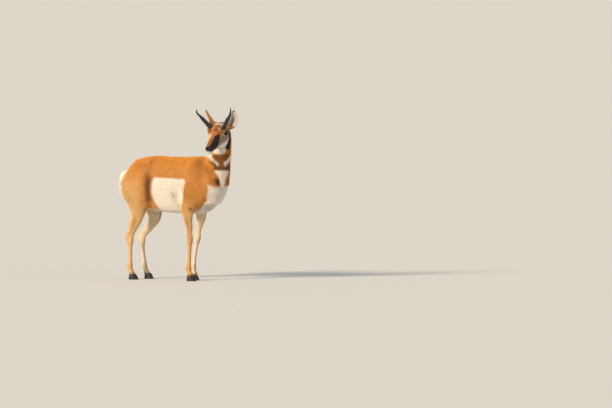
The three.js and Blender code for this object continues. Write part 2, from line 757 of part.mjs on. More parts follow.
const EAR_ROOT = [-52, 47, 4];
const EARS = {
  left: {
    side: 1,
    open: [0.86, 0.5, 0.1],
    steps: [[0, 0, 0], [-4, 29, 14], [-11, 45, 44], [-19, 49, 82], [-26, 42, 119]],
  },
  right: {
    side: -1,
    open: [0.25, 0.95, 0],
    steps: [[0, 0, 0], [-7, 28, 27], [-13, 50, 54], [-20, 68, 84], [-25, 80, 113]],
  },
};
function makeEar(which, headRoom) {
  const { side, open: [ahead, out, up], steps } = EARS[which];
  const course = courseFrom(side, EAR_ROOT, steps);
  const open = vec(ahead, side * out, up).applyMatrix4(upright).normalize();
  const shell = ringsAlong(course, 12, 12, open, (t) => {
    const [wide, deep] = earAt(t);
    return [deep * EAR_HALF_WIDTH, wide * EAR_HALF_WIDTH];
  });
  const STEPS = 12;
  const hollow = [];
  for (let i = 2; i < STEPS; i++) {
    const t = i / STEPS;
    const way = course.getTangentAt(t);
    const first = open.clone().addScaledVector(way, -open.dot(way)).normalize();
    const second = way.clone().cross(first);
    const [wide, deep] = earAt(t);
    const half = [deep * EAR_HALF_WIDTH, wide * EAR_HALF_WIDTH];
    const wall = Math.min(EAR_WALL, half[1] * 0.42, half[0] * 0.5);
    const sink = half[0] * 1.25;
    const centre = course.getPointAt(t).addScaledVector(first, sink - half[0] + wall);
    const closing = Math.min(1, (i - 1) / 3, (STEPS - i) / 1.5);
    const ring = [];
    for (let k = 0; k < 12; k++) {
      const angle = (2 * Math.PI * k) / 12;
      ring.push(
        centre
          .clone()
          .addScaledVector(first, sink * Math.cos(angle) * closing)
          .addScaledVector(second, (half[1] - wall) * Math.sin(angle) * closing),
      );
    }
    hollow.push(ring);
  }
  const cup = solidOf(loft(shell)).subtract(solidOf(loft(hollow)));
  return furMesh(`ear_${which}`, geometryOf(cup.subtract(headRoom)), FUR_TAN);
}

// Horn: a flattened sheath with one forward prong and a hooked tip
const HORN_ROOT = [-3, 51, 30];
const HORN_STEPS = {
  left: [[0, 0, 0], [18, 23, 31], [38, 49, 67], [60, 77, 100], [72, 89, 127], [73, 88, 154]],
  right: [[0, 0, 0], [18, 24, 32], [38, 48, 66], [60, 68, 93], [71, 75, 111], [71, 70, 129]],
};
const HORN_SECTIONS = [
  [0, 22, 16],
  [0.2, 20, 14.5],
  [0.44, 19, 13],
  [0.54, 14, 10.5],
  [0.72, 8.5, 8],
  [0.92, 5.5, 5],
  [1, 2, 2],
];
const PRONG = { from: 0.47, length: 36, root: 8.5, tip: 2.5 };
const hornAt = track(HORN_SECTIONS);
function makeHorn(which, side, headRoom) {
  const course = courseFrom(side, HORN_ROOT, HORN_STEPS[which]);
  const front = vec(1, -side * 0.1, 0).applyMatrix4(upright);
  const sheath = loft(ringsAlong(course, 12, 12, front, (t) => hornAt(t)));
  const foot = course.getPointAt(PRONG.from);
  const out = vec(0.97, side * 0.12, 0.08).applyMatrix4(upright);
  const prongCourse = new THREE.CatmullRomCurve3([
    foot,
    foot.clone().addScaledVector(out, PRONG.length * 0.6),
    foot.clone().addScaledVector(out, PRONG.length).add(vec(-1, 0, 3)),
  ]);
  const prong = loft(
    ringsAlong(prongCourse, 4, 8, vec(0, 0, 1), (t) => {
      const r = THREE.MathUtils.lerp(PRONG.root, PRONG.tip, t);
      return [r * 1.3, r];
    }),
  );
  const solid = solidOf(sheath).add(solidOf(prong)).subtract(headRoom);
  const horn = new THREE.MeshStandardMaterial({ color: HORN_BLACK, roughness: 0.45, metalness: 0 });
  const mesh = new THREE.Mesh(geometryOf(solid), horn);
  mesh.name = `horn_${which}`;
  return mesh;
}

function makeLeg(leg) {
  const line = track(LEG_JOINTS.map((z, i) => [z, leg.reach[i], leg.spread[i]]));
  const front = leg.sections === FORELEG_SECTIONS;
  const block = legBlock(leg, 0);
  const [hipX, hipY] = line(480);
  const upperBox = boxAt(
    [hipX - (front ? 130 : 230), leg.side * hipY - 110, LEG_PART - 30],
    [hipX + (front ? 150 : 190), leg.side * hipY + 110, 690],
  );
  const upperSkin = surface(body, upperBox, vec(21, 20, 25));
  const above = new THREE.Box3(vec(-600, -400, LEG_PART + GAP), vec(600, 400, 900));
  const upper = solidOf(upperSkin).intersect(block).intersect(blockOf(above));
  const [footX, footY] = line(95);
  const [kneeX, kneeY] = line(LEG_PART);
  const lowerBox = boxAt(
    [Math.min(footX, kneeX) - 62, leg.side * footY - 50, CLAW_HEIGHT - 10],
    [Math.max(footX, kneeX) + 62, leg.side * kneeY + 50, LEG_PART + 26],
  );
  const lowerSkin = surface(body, lowerBox, vec(10.5, 10.5, 23));
  const below = new THREE.Box3(vec(-600, -400, CLAW_HEIGHT + GAP), vec(600, 400, LEG_PART));
  const lower = solidOf(lowerSkin).intersect(blockOf(below));
  return [
    furMesh(`${leg.name}_upper`, geometryOf(upper), FUR_TAN),
    furMesh(`${leg.name}_lower`, geometryOf(lower), FUR_TAN),
  ];
}

// A claw's outline, x forward: round at the heel and pointed at the toe
function clawRing(z, heel, toe, half, inward) {
  const SIDES = 12;
  const ring = [];
  for (let i = 0; i < SIDES; i++) {
    const angle = (2 * Math.PI * i) / SIDES;
    const x = Math.cos(angle);
    const narrowing = x > 0 ? 1 - 0.62 * x * x : 1;
    const across = Math.sin(angle) * half * narrowing + inward * Math.max(x, 0);
    ring.push(vec(THREE.MathUtils.lerp(heel, toe, (x + 1) / 2), across, z));
  }
  return ring;
}

function makeClaws(leg) {
  const horn = new THREE.MeshStandardMaterial({ color: HORN_BLACK, roughness: 0.5, metalness: 0 });
  const line = track(LEG_JOINTS.map((z, i) => [z, leg.reach[i], leg.spread[i]]));
  const [x, y] = line(0);
  return ["inner", "outer"].map((which) => {
    const out = which === "outer" ? leg.side : -leg.side;
    const half = CLAW_HALF_WIDTH;
    const geometry = loft([
      clawRing(0, -0.42 * CLAW_LENGTH, 0.58 * CLAW_LENGTH, half, -out * 4),
      clawRing(7, -0.43 * CLAW_LENGTH, 0.53 * CLAW_LENGTH, half, -out * 3.5),
      clawRing(22, -0.4 * CLAW_LENGTH, 0.4 * CLAW_LENGTH, half * 0.97, -out * 2.5),
      clawRing(34, -0.35 * CLAW_LENGTH, 0.3 * CLAW_LENGTH, half * 0.88, -out * 1.5),
      clawRing(CLAW_HEIGHT, -0.3 * CLAW_LENGTH, 0.24 * CLAW_LENGTH, half * 0.8, -out),
    ]);
    const mesh = new THREE.Mesh(geometry, horn);
    mesh.name = `${leg.name}_claw_${which}`;
    mesh.position.set(x + 9, leg.side * y + out * (CLAW_HALF_WIDTH + 0.9), 0);
    mesh.rotation.z = radians(-leg.side * 4);
    return mesh;
  });
}

// Tail: short and flat, hanging against the rump
const TAIL_COURSE = [[-366, 0, 760], [-396, 0, 740], [-414, 0, 706], [-421, 0, 668], [-418, 0, 634]];
const TAIL_SECTIONS = [[0, 14, 19], [0.3, 14, 22], [0.65, 12, 21], [0.88, 8, 13], [1, 2, 4]];
const tailAt = track(TAIL_SECTIONS);
function makeTail() {
  const course = new THREE.CatmullRomCurve3(TAIL_COURSE.map((p) => vec(...p)));
  const solid = solidOf(loft(ringsAlong(course, 9, 12, vec(-1, 0, 0.3), (t) => tailAt(t))));
  return furMesh("tail", geometryOf(solid.subtract(trunkSkin(ROOT_GAP))), FUR_RUMP);
}

const animal = new THREE.Group();
animal.add(makeTorso(), makeNeck(), makeTail());
for (const leg of LEGS) animal.add(...makeLeg(leg), ...makeClaws(leg));

const headGroup = new THREE.Group();
headFrame.decompose(headGroup.position, headGroup.quaternion, headGroup.scale);
const headSolid = makeHead();
const headRoom = headSkin(ROOT_GAP).add(headSolid);
headGroup.add(furMesh("head", geometryOf(headSolid), FUR_WHITE));
for (const [word, side] of [["left", 1], ["right", -1]]) {
  headGroup.add(makeEye(`eye_${word}`, side));
  headGroup.add(makeEar(word, headRoom));
  headGroup.add(makeHorn(word, side, headRoom));
}
animal.add(headGroup);

// The origin is on the floor under the middle of the whole animal
animal.updateMatrixWorld(true);
const extent = new THREE.Box3().setFromObject(animal, true);
const centre = extent.getCenter(new THREE.Vector3());
animal.position.set(-centre.x, -centre.y, -extent.min.z);

const part = new THREE.Group();
part.add(animal);
export default part;
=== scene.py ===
"""Looks of a life-size pronghorn: skin, coat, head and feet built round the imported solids."""

import json
import logging
import math
from dataclasses import dataclass, field
from enum import Enum
from typing import Any, Callable

import bpy
import numpy as np
from mathutils import Matrix, Vector

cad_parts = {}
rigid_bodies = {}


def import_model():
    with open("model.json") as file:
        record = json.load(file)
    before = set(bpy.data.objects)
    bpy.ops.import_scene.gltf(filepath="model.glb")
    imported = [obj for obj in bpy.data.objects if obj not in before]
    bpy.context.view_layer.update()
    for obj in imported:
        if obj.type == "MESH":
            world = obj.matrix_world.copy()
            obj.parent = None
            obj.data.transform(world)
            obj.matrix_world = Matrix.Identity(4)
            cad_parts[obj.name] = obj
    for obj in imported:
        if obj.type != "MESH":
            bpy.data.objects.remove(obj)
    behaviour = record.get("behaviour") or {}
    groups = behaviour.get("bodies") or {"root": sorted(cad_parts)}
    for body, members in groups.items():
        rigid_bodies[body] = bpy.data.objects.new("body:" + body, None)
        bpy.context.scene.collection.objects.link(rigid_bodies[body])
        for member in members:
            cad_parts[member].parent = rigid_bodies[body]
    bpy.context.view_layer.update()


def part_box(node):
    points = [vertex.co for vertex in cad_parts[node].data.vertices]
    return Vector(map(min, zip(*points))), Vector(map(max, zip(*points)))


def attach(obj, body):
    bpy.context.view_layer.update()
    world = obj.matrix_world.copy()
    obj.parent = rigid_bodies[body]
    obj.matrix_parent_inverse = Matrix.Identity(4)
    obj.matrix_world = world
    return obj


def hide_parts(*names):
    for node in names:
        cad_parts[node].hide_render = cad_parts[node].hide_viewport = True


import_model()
log = logging.getLogger("pronghorn")

Array = np.ndarray
Number = Array | float
Field = Callable[[Array, Array, Array], Array]
Span = tuple[tuple[float, float], tuple[float, float]]
Window = Callable[[float, float], Span]
Look = Callable[[Array], Array]
Object, Material = bpy.types.Object, bpy.types.Material
Node, Socket = bpy.types.Node, bpy.types.NodeSocket

# The body frame: millimetres, +X the way the body faces, +Y the animal's left, floor at z = 0
EYE_POINT = np.array([436.0, -136.0, 1062.0])
HEAD_YAW, HEAD_PITCH, HEAD_ROLL = -86.0, 38.0, 5.0
EYE_RADIUS, EYE_SIDE = 23.0, 53.0
BALL_SHARE = 0.996  # the eyeball's radius, as a share of its socket's

TRUNK_SECTIONS = [
    (-412, 690, 645, 24), (-400, 724, 622, 54), (-372, 764, 590, 82), (-325, 806, 562, 104),
    (-265, 846, 538, 120), (-190, 871, 506, 130), (-100, 877, 485, 141), (0, 873, 477, 147),
    (90, 873, 474, 145), (170, 877, 473, 134), (235, 879, 478, 122), (290, 864, 494, 109),
    (335, 832, 528, 96), (376, 786, 576, 78), (400, 740, 622, 52), (411, 708, 660, 22),
]
NECK_SECTIONS = [
    (570, 312, 0, 0, 66, 68), (640, 318, 0, 0, 92, 90), (720, 338, 0, -5, 105, 88),
    (770, 357, -3, -12, 101, 78), (813, 375, -8, -21, 92, 70), (870, 388, -20, -34, 84, 77),
    (919, 405, -23, -46, 73, 66), (970, 425, -26, -60, 61, 53), (1025, 432, -34, -74, 57, 50),
    (1072, 434, -44, -84, 46, 43), (1104, 434, -54, -86, 24, 24),
]
HEAD_SECTIONS = [
    (-98, 20, 4, -26), (-88, 36, 15, -48), (-66, 48, 27, -74), (-35, 56, 37, -98),
    (0, 61, 44, -109), (30, 59, 41, -107), (62, 52, 29, -97), (95, 43.5, 18, -84),
    (125, 36, 11, -73), (150, 31, 7, -66), (168, 27.5, 2, -59), (180, 21, -6, -49),
    (187, 10, -16, -35),
]
FORELEG_SECTIONS = [
    (20, 20, 21, 8), (44, 21, 22, 7), (66, 18, 19, 1), (88, 21, 20, -4), (108, 19, 18, -3),
    (132, 14, 13.5, 0), (200, 13, 12.5, 0), (250, 15, 14.5, 0), (278, 21, 20, 1),
    (305, 22.5, 21.5, 2), (335, 20, 20, 0), (380, 24, 22, 2), (430, 32, 27, 4),
    (480, 42, 31, 6), (520, 55, 34, 18), (560, 78, 37, 40), (620, 92, 40, 58),
    (690, 92, 38, 64), (760, 78, 31, 58), (820, 58, 20, 50), (855, 36, 10, 48),
]
HINDLEG_SECTIONS = [
    (20, 20, 21, 8), (44, 21, 22, 7), (66, 18, 19, 1), (88, 21, 20, -4), (108, 19, 18, -3),
    (134, 14.5, 13, 0), (200, 14.5, 13, 0), (240, 18, 15, -1), (268, 26, 18.5, -2),
    (292, 31, 20, -5), (316, 31, 20, -7), (345, 30, 20, -1), (380, 38, 24, 2),
    (430, 46, 31, 4), (480, 58, 40, 4), (530, 80, 49, 2), (580, 111, 57, -5),
    (640, 135, 63, -12), (700, 130, 62, -4), (760, 99, 52, 10), (810, 66, 36, 20),
    (845, 34, 18, 26),
]
LEG_JOINTS = [0, 95, 290, 370, 440, 560, 860]
# name, side, sections, reach along x and spread along y at the joints
LEGS = [
    ("foreleg_right", -1, FORELEG_SECTIONS, (176, 168, 177, 175, 163, 160, 158), (74, 75, 80, 84, 89, 92, 50)),
    ("foreleg_left", 1, FORELEG_SECTIONS, (120, 122, 148, 157, 171, 166, 158), (74, 75, 80, 84, 88, 92, 50)),
    ("hindleg_right", -1, HINDLEG_SECTIONS, (-296, -309, -309, -281, -252, -232, -262), (72, 74, 76, 81, 88, 86, 40)),
    ("hindleg_left", 1, HINDLEG_SECTIONS, (-252, -276, -298, -240, -206, -228, -262), (72, 74, 76, 81, 88, 86, 40)),
]
# x, |y|, z, half sizes, fillet
SWELLS = [
    (-212, 82, 808, 50, 25, 26, 30), (-356, 46, 724, 34, 25, 36, 28), (294, 82, 648, 44, 36, 60, 36),
    (206, 96, 642, 62, 48, 84, 36), (224, 78, 762, 50, 41, 88, 34),
]
HOLLOWS = [
    (-92, 186, 738, 66, 64, 88, 30), (120, 188, 600, 38, 64, 96, 26), (322, 148, 772, 38, 60, 72, 30),
]
# Head's own forms: s, l, t, half sizes, fillet
HEAD_FORMS = [
    (-2, 46, -1, 37, 25, 30, 16), (2, 50, 24, 27, 20, 14, 14), (2, 30, -62, 52, 26, 44, 18),
    (-56, 42, 8, 24, 20, 24, 16), (172, 11, -13, 15, 14, 14, 8), (150, 18, -33, 34, 12, 12, 8),
    (153, 0, -57, 24, 18, 13, 8),
]
NECK_FILLET, SHOULDER_FILLET, THROAT_FILLET, SLANT_REACH = 60.0, 34.0, 26.0, 12.0
# How far the skin lies inside the solids, under the coat
LEG_COAT, BODY_COAT, HEAD_COAT = 1.3, 3.0, 1.6
FAR = 60.0  # a distance that stands for nothing near
CHUNK = 40000  # points looked up at a time
# Tail: z, middle x, half depth, half width
TAIL_SECTIONS = [
    (634, -418, 3, 5), (650, -420, 8, 13), (678, -420, 11, 20), (706, -414, 12, 21),
    (732, -401, 13, 20), (752, -380, 13, 17), (764, -358, 12, 15),
]


class Track:
    """A smooth curve through rows of (place, value, ...) that never overshoots them."""

    STEPS = 512  # rows of the table that the curve is looked up in

    def __init__(self, rows: list[tuple[float, ...]]) -> None:
        """Fits the curve.

        Args:
            rows: place and values of each row, in order of place.
        """
        rows = np.array(rows, float)
        x, y = rows[:, 0], rows[:, 1:]
        width = np.diff(x)[:, None]
        slope = np.diff(y, axis=0) / width
        tangent = np.vstack([slope[:1], np.zeros((len(x) - 2, y.shape[1])), slope[-1:]])
        before, after = 2 * width[1:] + width[:-1], width[1:] + 2 * width[:-1]
        same = slope[:-1] * slope[1:] > 0
        a = np.where(same, slope[:-1], 1.0)
        b = np.where(same, slope[1:], 1.0)
        tangent[1:-1] = np.where(same, (before + after) / (before / a + after / b), 0.0)
        place = np.linspace(x[0], x[-1], self.STEPS + 1)
        i = np.clip(np.searchsorted(x, place) - 1, 0, len(width) - 1)
        t = ((place - x[i]) / width[i, 0])[:, None]
        s = 1 - t
        table = (
            y[i] * (1 + 2 * t) * s * s + width[i] * tangent[i] * t * s * s
            + y[i + 1] * t * t * (3 - 2 * t) - width[i] * tangent[i + 1] * t * t * s
        )
        self.first, self.last, self.tables = x[0], x[-1], table.T.copy()

    def __call__(self, place: Array) -> list[Array]:
        """Looks the curve up.

        Args:
            place: where along it.

        Returns:
            One array for each value of a row.
        """
        k = np.clip((place - self.first) / (self.last - self.first) * self.STEPS, 0, self.STEPS)
        low = np.minimum(k.astype(np.int32), self.STEPS - 1)
        part = k - low
        return [t[low] * (1 - part) + t[low + 1] * part for t in self.tables]


def ellipse(x: Array, y: Array, a: Number, b: Number) -> Array:
    """Signed distance, nearly, to an ellipse of half axes a and b.

    Args:
        x, y: places from its middle.
        a, b: half axes.

    Returns:
        The distances, below 0 inside.
    """
    k = np.sqrt((x / a) ** 2 + (y / b) ** 2)
    grade = np.sqrt((x / (a * a)) ** 2 + (y / (b * b)) ** 2)
    return np.where(grade < 1e-9, -np.minimum(a, b), k * (k - 1) / np.maximum(grade, 1e-9))


def ellipsoid(x: Array, y: Array, z: Array, a: float, b: float, c: float) -> Array:
    """Signed distance, nearly, to an ellipsoid of half axes a, b and c.

    Args:
        x, y, z: places from its middle.
        a, b, c: half axes.

    Returns:
        The distances, below 0 inside.
    """
    k = np.sqrt((x / a) ** 2 + (y / b) ** 2 + (z / c) ** 2)
    grade = np.sqrt((x / (a * a)) ** 2 + (y / (b * b)) ** 2 + (z / (c * c)) ** 2)
    return np.where(grade < 1e-9, -min(a, b, c), k * (k - 1) / np.maximum(grade, 1e-9))


def capped(side: Array, place: Array, track: Track) -> Array:
    """Distance past the ends of a track, joined to the distance from its side."""
    past = np.maximum(track.first - place, place - track.last)
    return np.where(past > 0, np.hypot(np.maximum(side, 0), past), np.maximum(side, past))


def join(a: Array, b: Array, reach: float) -> Array:
    """Union of two distances with a fillet about as wide as reach."""
    h = np.maximum(reach - np.abs(a - b), 0) / reach
    return np.minimum(a, b) - h * h * reach * 0.25


def carve(a: Array, b: Array, reach: float) -> Array:
    """The first distance less the second, with a rounded edge."""
    return -join(-a, b, reach)


def ramp(x: Number, low: float, high: float) -> Number:
    """Smooth step from 0 at low to 1 at high, either way round."""
    t = np.clip((x - low) / (high - low), 0, 1)
    return t * t * (3 - 2 * t)


def bell(x: Number, half: float) -> Number:
    """A smooth bump of height 1 and the given half width."""
    return np.exp(-((x / half) ** 2))


def unit(v: Array) -> Array:
    """Rows scaled to length 1."""
    return v / np.maximum(np.linalg.norm(v, axis=1), 1e-6)[:, None]


def turn(axis: str, degrees: float) -> Array:
    """A turn about one axis as a matrix."""
    return np.array(Matrix.Rotation(math.radians(degrees), 3, axis))


class Anatomy:
    """The animal's body as one smooth field of distances, in millimetres in the body frame.

    The head's frame has s towards the nose, l to the animal's left and t towards the crown.
    """

    def __init__(self) -> None:
        """Fits every track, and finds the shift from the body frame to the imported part's."""
        self.head_turn = turn("Z", HEAD_YAW) @ turn("X", -HEAD_ROLL) @ turn("Y", HEAD_PITCH)
        self.trunk_at, self.neck_at = Track(TRUNK_SECTIONS), Track(NECK_SECTIONS)
        self.head_at, self.tail_at = Track(HEAD_SECTIONS), Track(TAIL_SECTIONS)
        self.legs = []
        for name, side, sections, reach, spread in LEGS:
            line = Track([(z, reach[i], spread[i]) for i, z in enumerate(LEG_JOINTS)])
            self.legs.append((name, side, Track(sections), line))
        low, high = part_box("eye_left")
        eye = EYE_POINT + self.head_turn @ np.array([0, EYE_SIDE, 0])
        self.shift = np.array((low + high) / 2) * 1000 - eye

    def to_head(self, p: Array) -> Array:
        """Body frame to the head's."""
        return (p - EYE_POINT) @ self.head_turn

    def from_head(self, q: Array) -> Array:
        """Head's frame to the body's."""
        return q @ self.head_turn.T + EYE_POINT

    def to_row(self, p: Array) -> Array:
        """Body frame in millimetres to the row frame in metres."""
        return (p + self.shift) / 1000

    def from_row(self, p: Array) -> Array:
        """Row frame in metres to the body frame in millimetres."""
        return p * 1000 - self.shift

    def trunk(self, x: Array, y: Array, z: Array) -> Array:
        """Distance to the trunk alone."""
        top, belly, half = self.trunk_at(x)
        return capped(ellipse(y, z - (top + belly) / 2, half, (top - belly) / 2), x, self.trunk_at)

    def neck(self, x: Array, y: Array, z: Array) -> Array:
        """Distance to the neck alone.

        Args:
            x, y, z: places in the body frame.

        Returns:
            The distances.
        """
        cx, cy, facing, deep, wide = self.neck_at(z)
        c, s = np.cos(np.radians(facing)), np.sin(np.radians(facing))
        along, across = (x - cx) * c + (y - cy) * s, (y - cy) * c - (x - cx) * s
        return capped(ellipse(along, across, deep, wide), z, self.neck_at)

    def leg(self, index: int, x: Array, y: Array, z: Array) -> Array:
        """Distance to one leg.

        Args:
            index: which of LEGS it is.
            x, y, z: places in the body frame.

        Returns:
            The distances.
        """
        _, side, shape, line = self.legs[index]
        ahead_above = line(z + SLANT_REACH)[0]
        cx, cy = line(z)
        slant = np.hypot(1, (ahead_above - cx) / SLANT_REACH)
        deep, wide, ahead = shape(z)
        return capped(ellipse(x - cx - ahead, y - side * cy, deep * slant, wide), z, shape)

    def tail(self, x: Array, y: Array, z: Array) -> Array:
        """Distance to the tail alone.

        Args:
            x, y, z: places in the body frame.

        Returns:
            The distances.
        """
        cx, deep, wide = self.tail_at(z)
        above = self.tail_at(z + 4)[0]
        slant = np.hypot(1, (above - cx) / 4)
        return capped(ellipse(x - cx, y, deep * slant, wide), z, self.tail_at)

    def head(self, s: Array, l: Array, t: Array) -> Array:
        """Distance to the skull with its own forms.

        Args:
            s, l, t: places in the head's frame.

        Returns:
            The distances.
        """
        l = np.abs(l)
        half, top, low = self.head_at(s)
        d = capped(ellipse(l, t - (top + low) / 2, half, (top - low) / 2), s, self.head_at)
        for s0, l0, t0, a, b, c, reach in HEAD_FORMS:
            d = join(d, ellipsoid(s - s0, l - l0, t - t0, a, b, c), reach)
        return d

    def solid(self, x: Array, y: Array, z: Array) -> tuple[Array, Array, Array]:
        """Distance to the solids' own surface.

        Args:
            x, y, z: places in the body frame.

        Returns:
            The distances, those to the head alone, and the places in the head's frame.
        """
        d = join(self.trunk(x, y, z), self.neck(x, y, z), NECK_FILLET)
        for i in range(4):
            d = join(d, self.leg(i, x, y, z), SHOULDER_FILLET)
        far = np.abs(y)
        for x0, y0, z0, a, b, c, reach in SWELLS:
            d = join(d, ellipsoid(x - x0, far - y0, z - z0, a, b, c), reach)
        for x0, y0, z0, a, b, c, reach in HOLLOWS:
            d = carve(d, ellipsoid(x - x0, far - y0, z - z0, a, b, c), reach)
        d = join(d, self.tail(x, y, z), 14)
        q = self.to_head(np.stack([x, y, z], -1))
        skull = self.head(q[..., 0], q[..., 1], q[..., 2])
        return join(d, skull, THROAT_FILLET), skull, q

    def skin(self, x: Array, y: Array, z: Array) -> Array:
        """Distance to the skin: the solids' surface less the coat's depth, with the finer forms.

        Args:
            x, y, z: places in the body frame.

        Returns:
            The distances.
        """
        d, skull, q = self.solid(x, y, z)
        depth = LEG_COAT + (BODY_COAT - LEG_COAT) * ramp(z, 420, 600)
        on_head = ramp(skull, 30, 4) * ramp(z, 800, 880)
        d = d + depth * (1 - on_head) + HEAD_COAT * on_head
        near = on_head > 0
        if near.any():
            d = d.copy()
            d[near] = self.face(d[near], q[near])
        low = z < 345
        if low.any():
            d = d.copy()
            d[low] = self.sinews(d[low], x[low], y[low], z[low])
        return d

    def sinews(self, d: Array, x: Array, y: Array, z: Array) -> Array:
        """Tendons behind the cannons, with the groove in front of them, and the knees' bones.

        Args:
            d: distances so far.
            x, y, z: places in the body frame.

        Returns:
            The new distances.
        """
        for _, side, shape, line in self.legs:
            cx, cy = line(z)
            ahead = shape(z)[2]
            along, across = x - cx - ahead, y - side * cy
            near = ramp(np.hypot(along, across), 45, 30)
            shank = ramp(z, 118, 140) * ramp(z, 262, 236)
            d = d + near * shank * 2.6 * bell(along + 3.5, 3.6) * ramp(np.abs(across), 4, 11)
            d = d + near * 1.6 * bell(z - 62, 6) * ramp(along, -2, -14)
        return d

    def face(self, d: Array, q: Array) -> Array:
        """Lids, sockets, brows, nostrils, lips and the mouth's line, cut and raised in the skin.

        Args:
            d: distances so far.
            q: places in the head's frame.

        Returns:
            The new distances.
        """
        s, l, t = q[:, 0], np.abs(q[:, 1]), q[:, 2]
        d = d + 1.5 * bell(s - 66, 18) * bell(l - 30, 9) * bell(t - 14, 14)  # hollow ahead of the eye
        d = d - 1.6 * bell(l - 27, 7) * bell(t + 30, 26) * bell(s - 88, 46)  # bone of the cheek
        d = d - 1.8 * bell(s - 60, 60) * bell(l, 12) * ramp(t, 0, 14)  # bridge
        d = d + 1.8 * bell(s - 20, 60) * bell(t + 60, 7) * bell(l - 50, 26)  # edge of the jaw muscle
        eye = np.stack([s, l - EYE_SIDE, t], -1) @ EYE_AXES.T
        u, v, w = eye[:, 0], eye[:, 1], eye[:, 2]
        ball = np.sqrt(u * u + v * v + w * w)
        fold = ball - EYE_RADIUS
        shell = np.where(w > -8, fold - 2.5, FAR)
        d = join(d, shell, 7)
        open_at = almond(u, v)
        d = d + ramp(w, 0, 8) * 1.5 * bell(open_at - 6.5, 1.9) * ramp(v, -14, 6)  # crease over the lid
        d = d + ramp(w, 0, 8) * 0.9 * bell(open_at - 9, 2.2) * ramp(v, 4, -12)
        cut = np.maximum(np.maximum(open_at, -w + 4), fold - 9)
        d = carve(d, cut, 1.6)
        d = np.maximum(d, -np.maximum(fold - 0.15, 6 - w))
        pit = np.stack([s - 180, l - 15.5, t + 11], -1) @ NOSTRIL_AXES
        slit = ellipsoid(pit[:, 0], pit[:, 1] - 0.018 * pit[:, 0] ** 2, pit[:, 2], 11, 3.8, 5.2)
        d = d - 1.4 * bell(slit - 4, 2.6)
        d = carve(d, slit, 2.2)
        d = d + 2.2 * ramp(s, 160, 176) * bell(l, 1.5) * bell(t + 27, 13)  # cleft under the nose
        m = mouth_line(s)
        fore = ramp(s, 106, 122)
        d = d - fore * (1.5 * bell(t - m - 5, 3.4) + 1.2 * bell(t - m + 5, 3.2))
        groove = np.maximum(np.abs(t - m) - 1.15, 108 - s)
        sunk = np.maximum(groove, -(d + 6))
        return carve(d, sunk, 1.8)


def mouth_line(s: Array) -> Array:
    """Height of the mouth's line in the head's frame."""
    return np.interp(s, [100, 108, 130, 150, 170, 185, 200], [-50.5, -49.3, -47.2, -45.2, -43, -41.2, -39.7])


# The almond between the lids is where two circles of this reach meet, this far from its long axis
LID_OFFSET, LID_REACH = 7.0, 19.4


def almond(u: Array, v: Array) -> Array:
    """Signed distance to the opening between the lids, in the eye's own plane."""
    return np.maximum(np.hypot(u, v - LID_OFFSET), np.hypot(u, v + LID_OFFSET)) - LID_REACH


def frame_facing(way: tuple[float, ...], up: tuple[float, ...]) -> Array:
    """Rows u, v, w: w along way, v as near to up as it can be.

    Args:
        way: where w points.
        up: where v points as nearly as it can.

    Returns:
        The three rows.
    """
    w = np.array(way, float) / np.linalg.norm(way)
    u = np.cross(up, w)
    u /= np.linalg.norm(u)
    return np.stack([u, np.cross(w, u), w])


EYE_AXES = frame_facing((0.26, 0.96, 0.08), (-0.1, 0, 1))
NOSTRIL_AXES = turn("Z", 34) @ turn("Y", 28)
ANATOMY = Anatomy()


def sheet_table() -> tuple[Array, Array]:
    """How sheets of surface cross each of the 256 kinds of cell.

    Returns:
        How many sheets cross it, and which one crosses each edge.
    """
    count, of = np.zeros(256, np.int32), np.full((256, 12), -1, np.int32)
    faces = [(bit, side) for bit in (1, 2, 4) for side in (0, bit)]
    for mask in range(256):
        inside = [bool(mask >> c & 1) for c in range(8)]
        sheet = [-1 if inside[a] == inside[b] else i for i, (a, b) in enumerate(CELL_EDGES)]

        def merge(i: int, j: int) -> None:
            """Makes one sheet of two."""
            keep, drop = sheet[i], sheet[j]
            for e in range(12):
                if sheet[e] == drop:
                    sheet[e] = keep

        for bit, side in faces:
            crossed = [i for i, ends in enumerate(CELL_EDGES)
                       if sheet[i] >= 0 and all(c & bit == side for c in ends)]
            if len(crossed) == 2:
                merge(*crossed)
            elif len(crossed) == 4:
                corner = {i: next(c for c in CELL_EDGES[i] if inside[c]) for i in crossed}
                for i in crossed:
                    for j in crossed:
                        if corner[i] == corner[j]:
                            merge(i, j)
        names = sorted({n for n in sheet if n >= 0})
        count[mask] = len(names)
        of[mask] = [names.index(n) if n >= 0 else -1 for n in sheet]
    return count, of


# A cell's twelve edges, each by the corners at its ends
CELL_EDGES = [(a, a | bit) for bit in (1, 2, 4) for a in range(8) if not a & bit]
SHEET_COUNT, SHEET_OF = sheet_table()


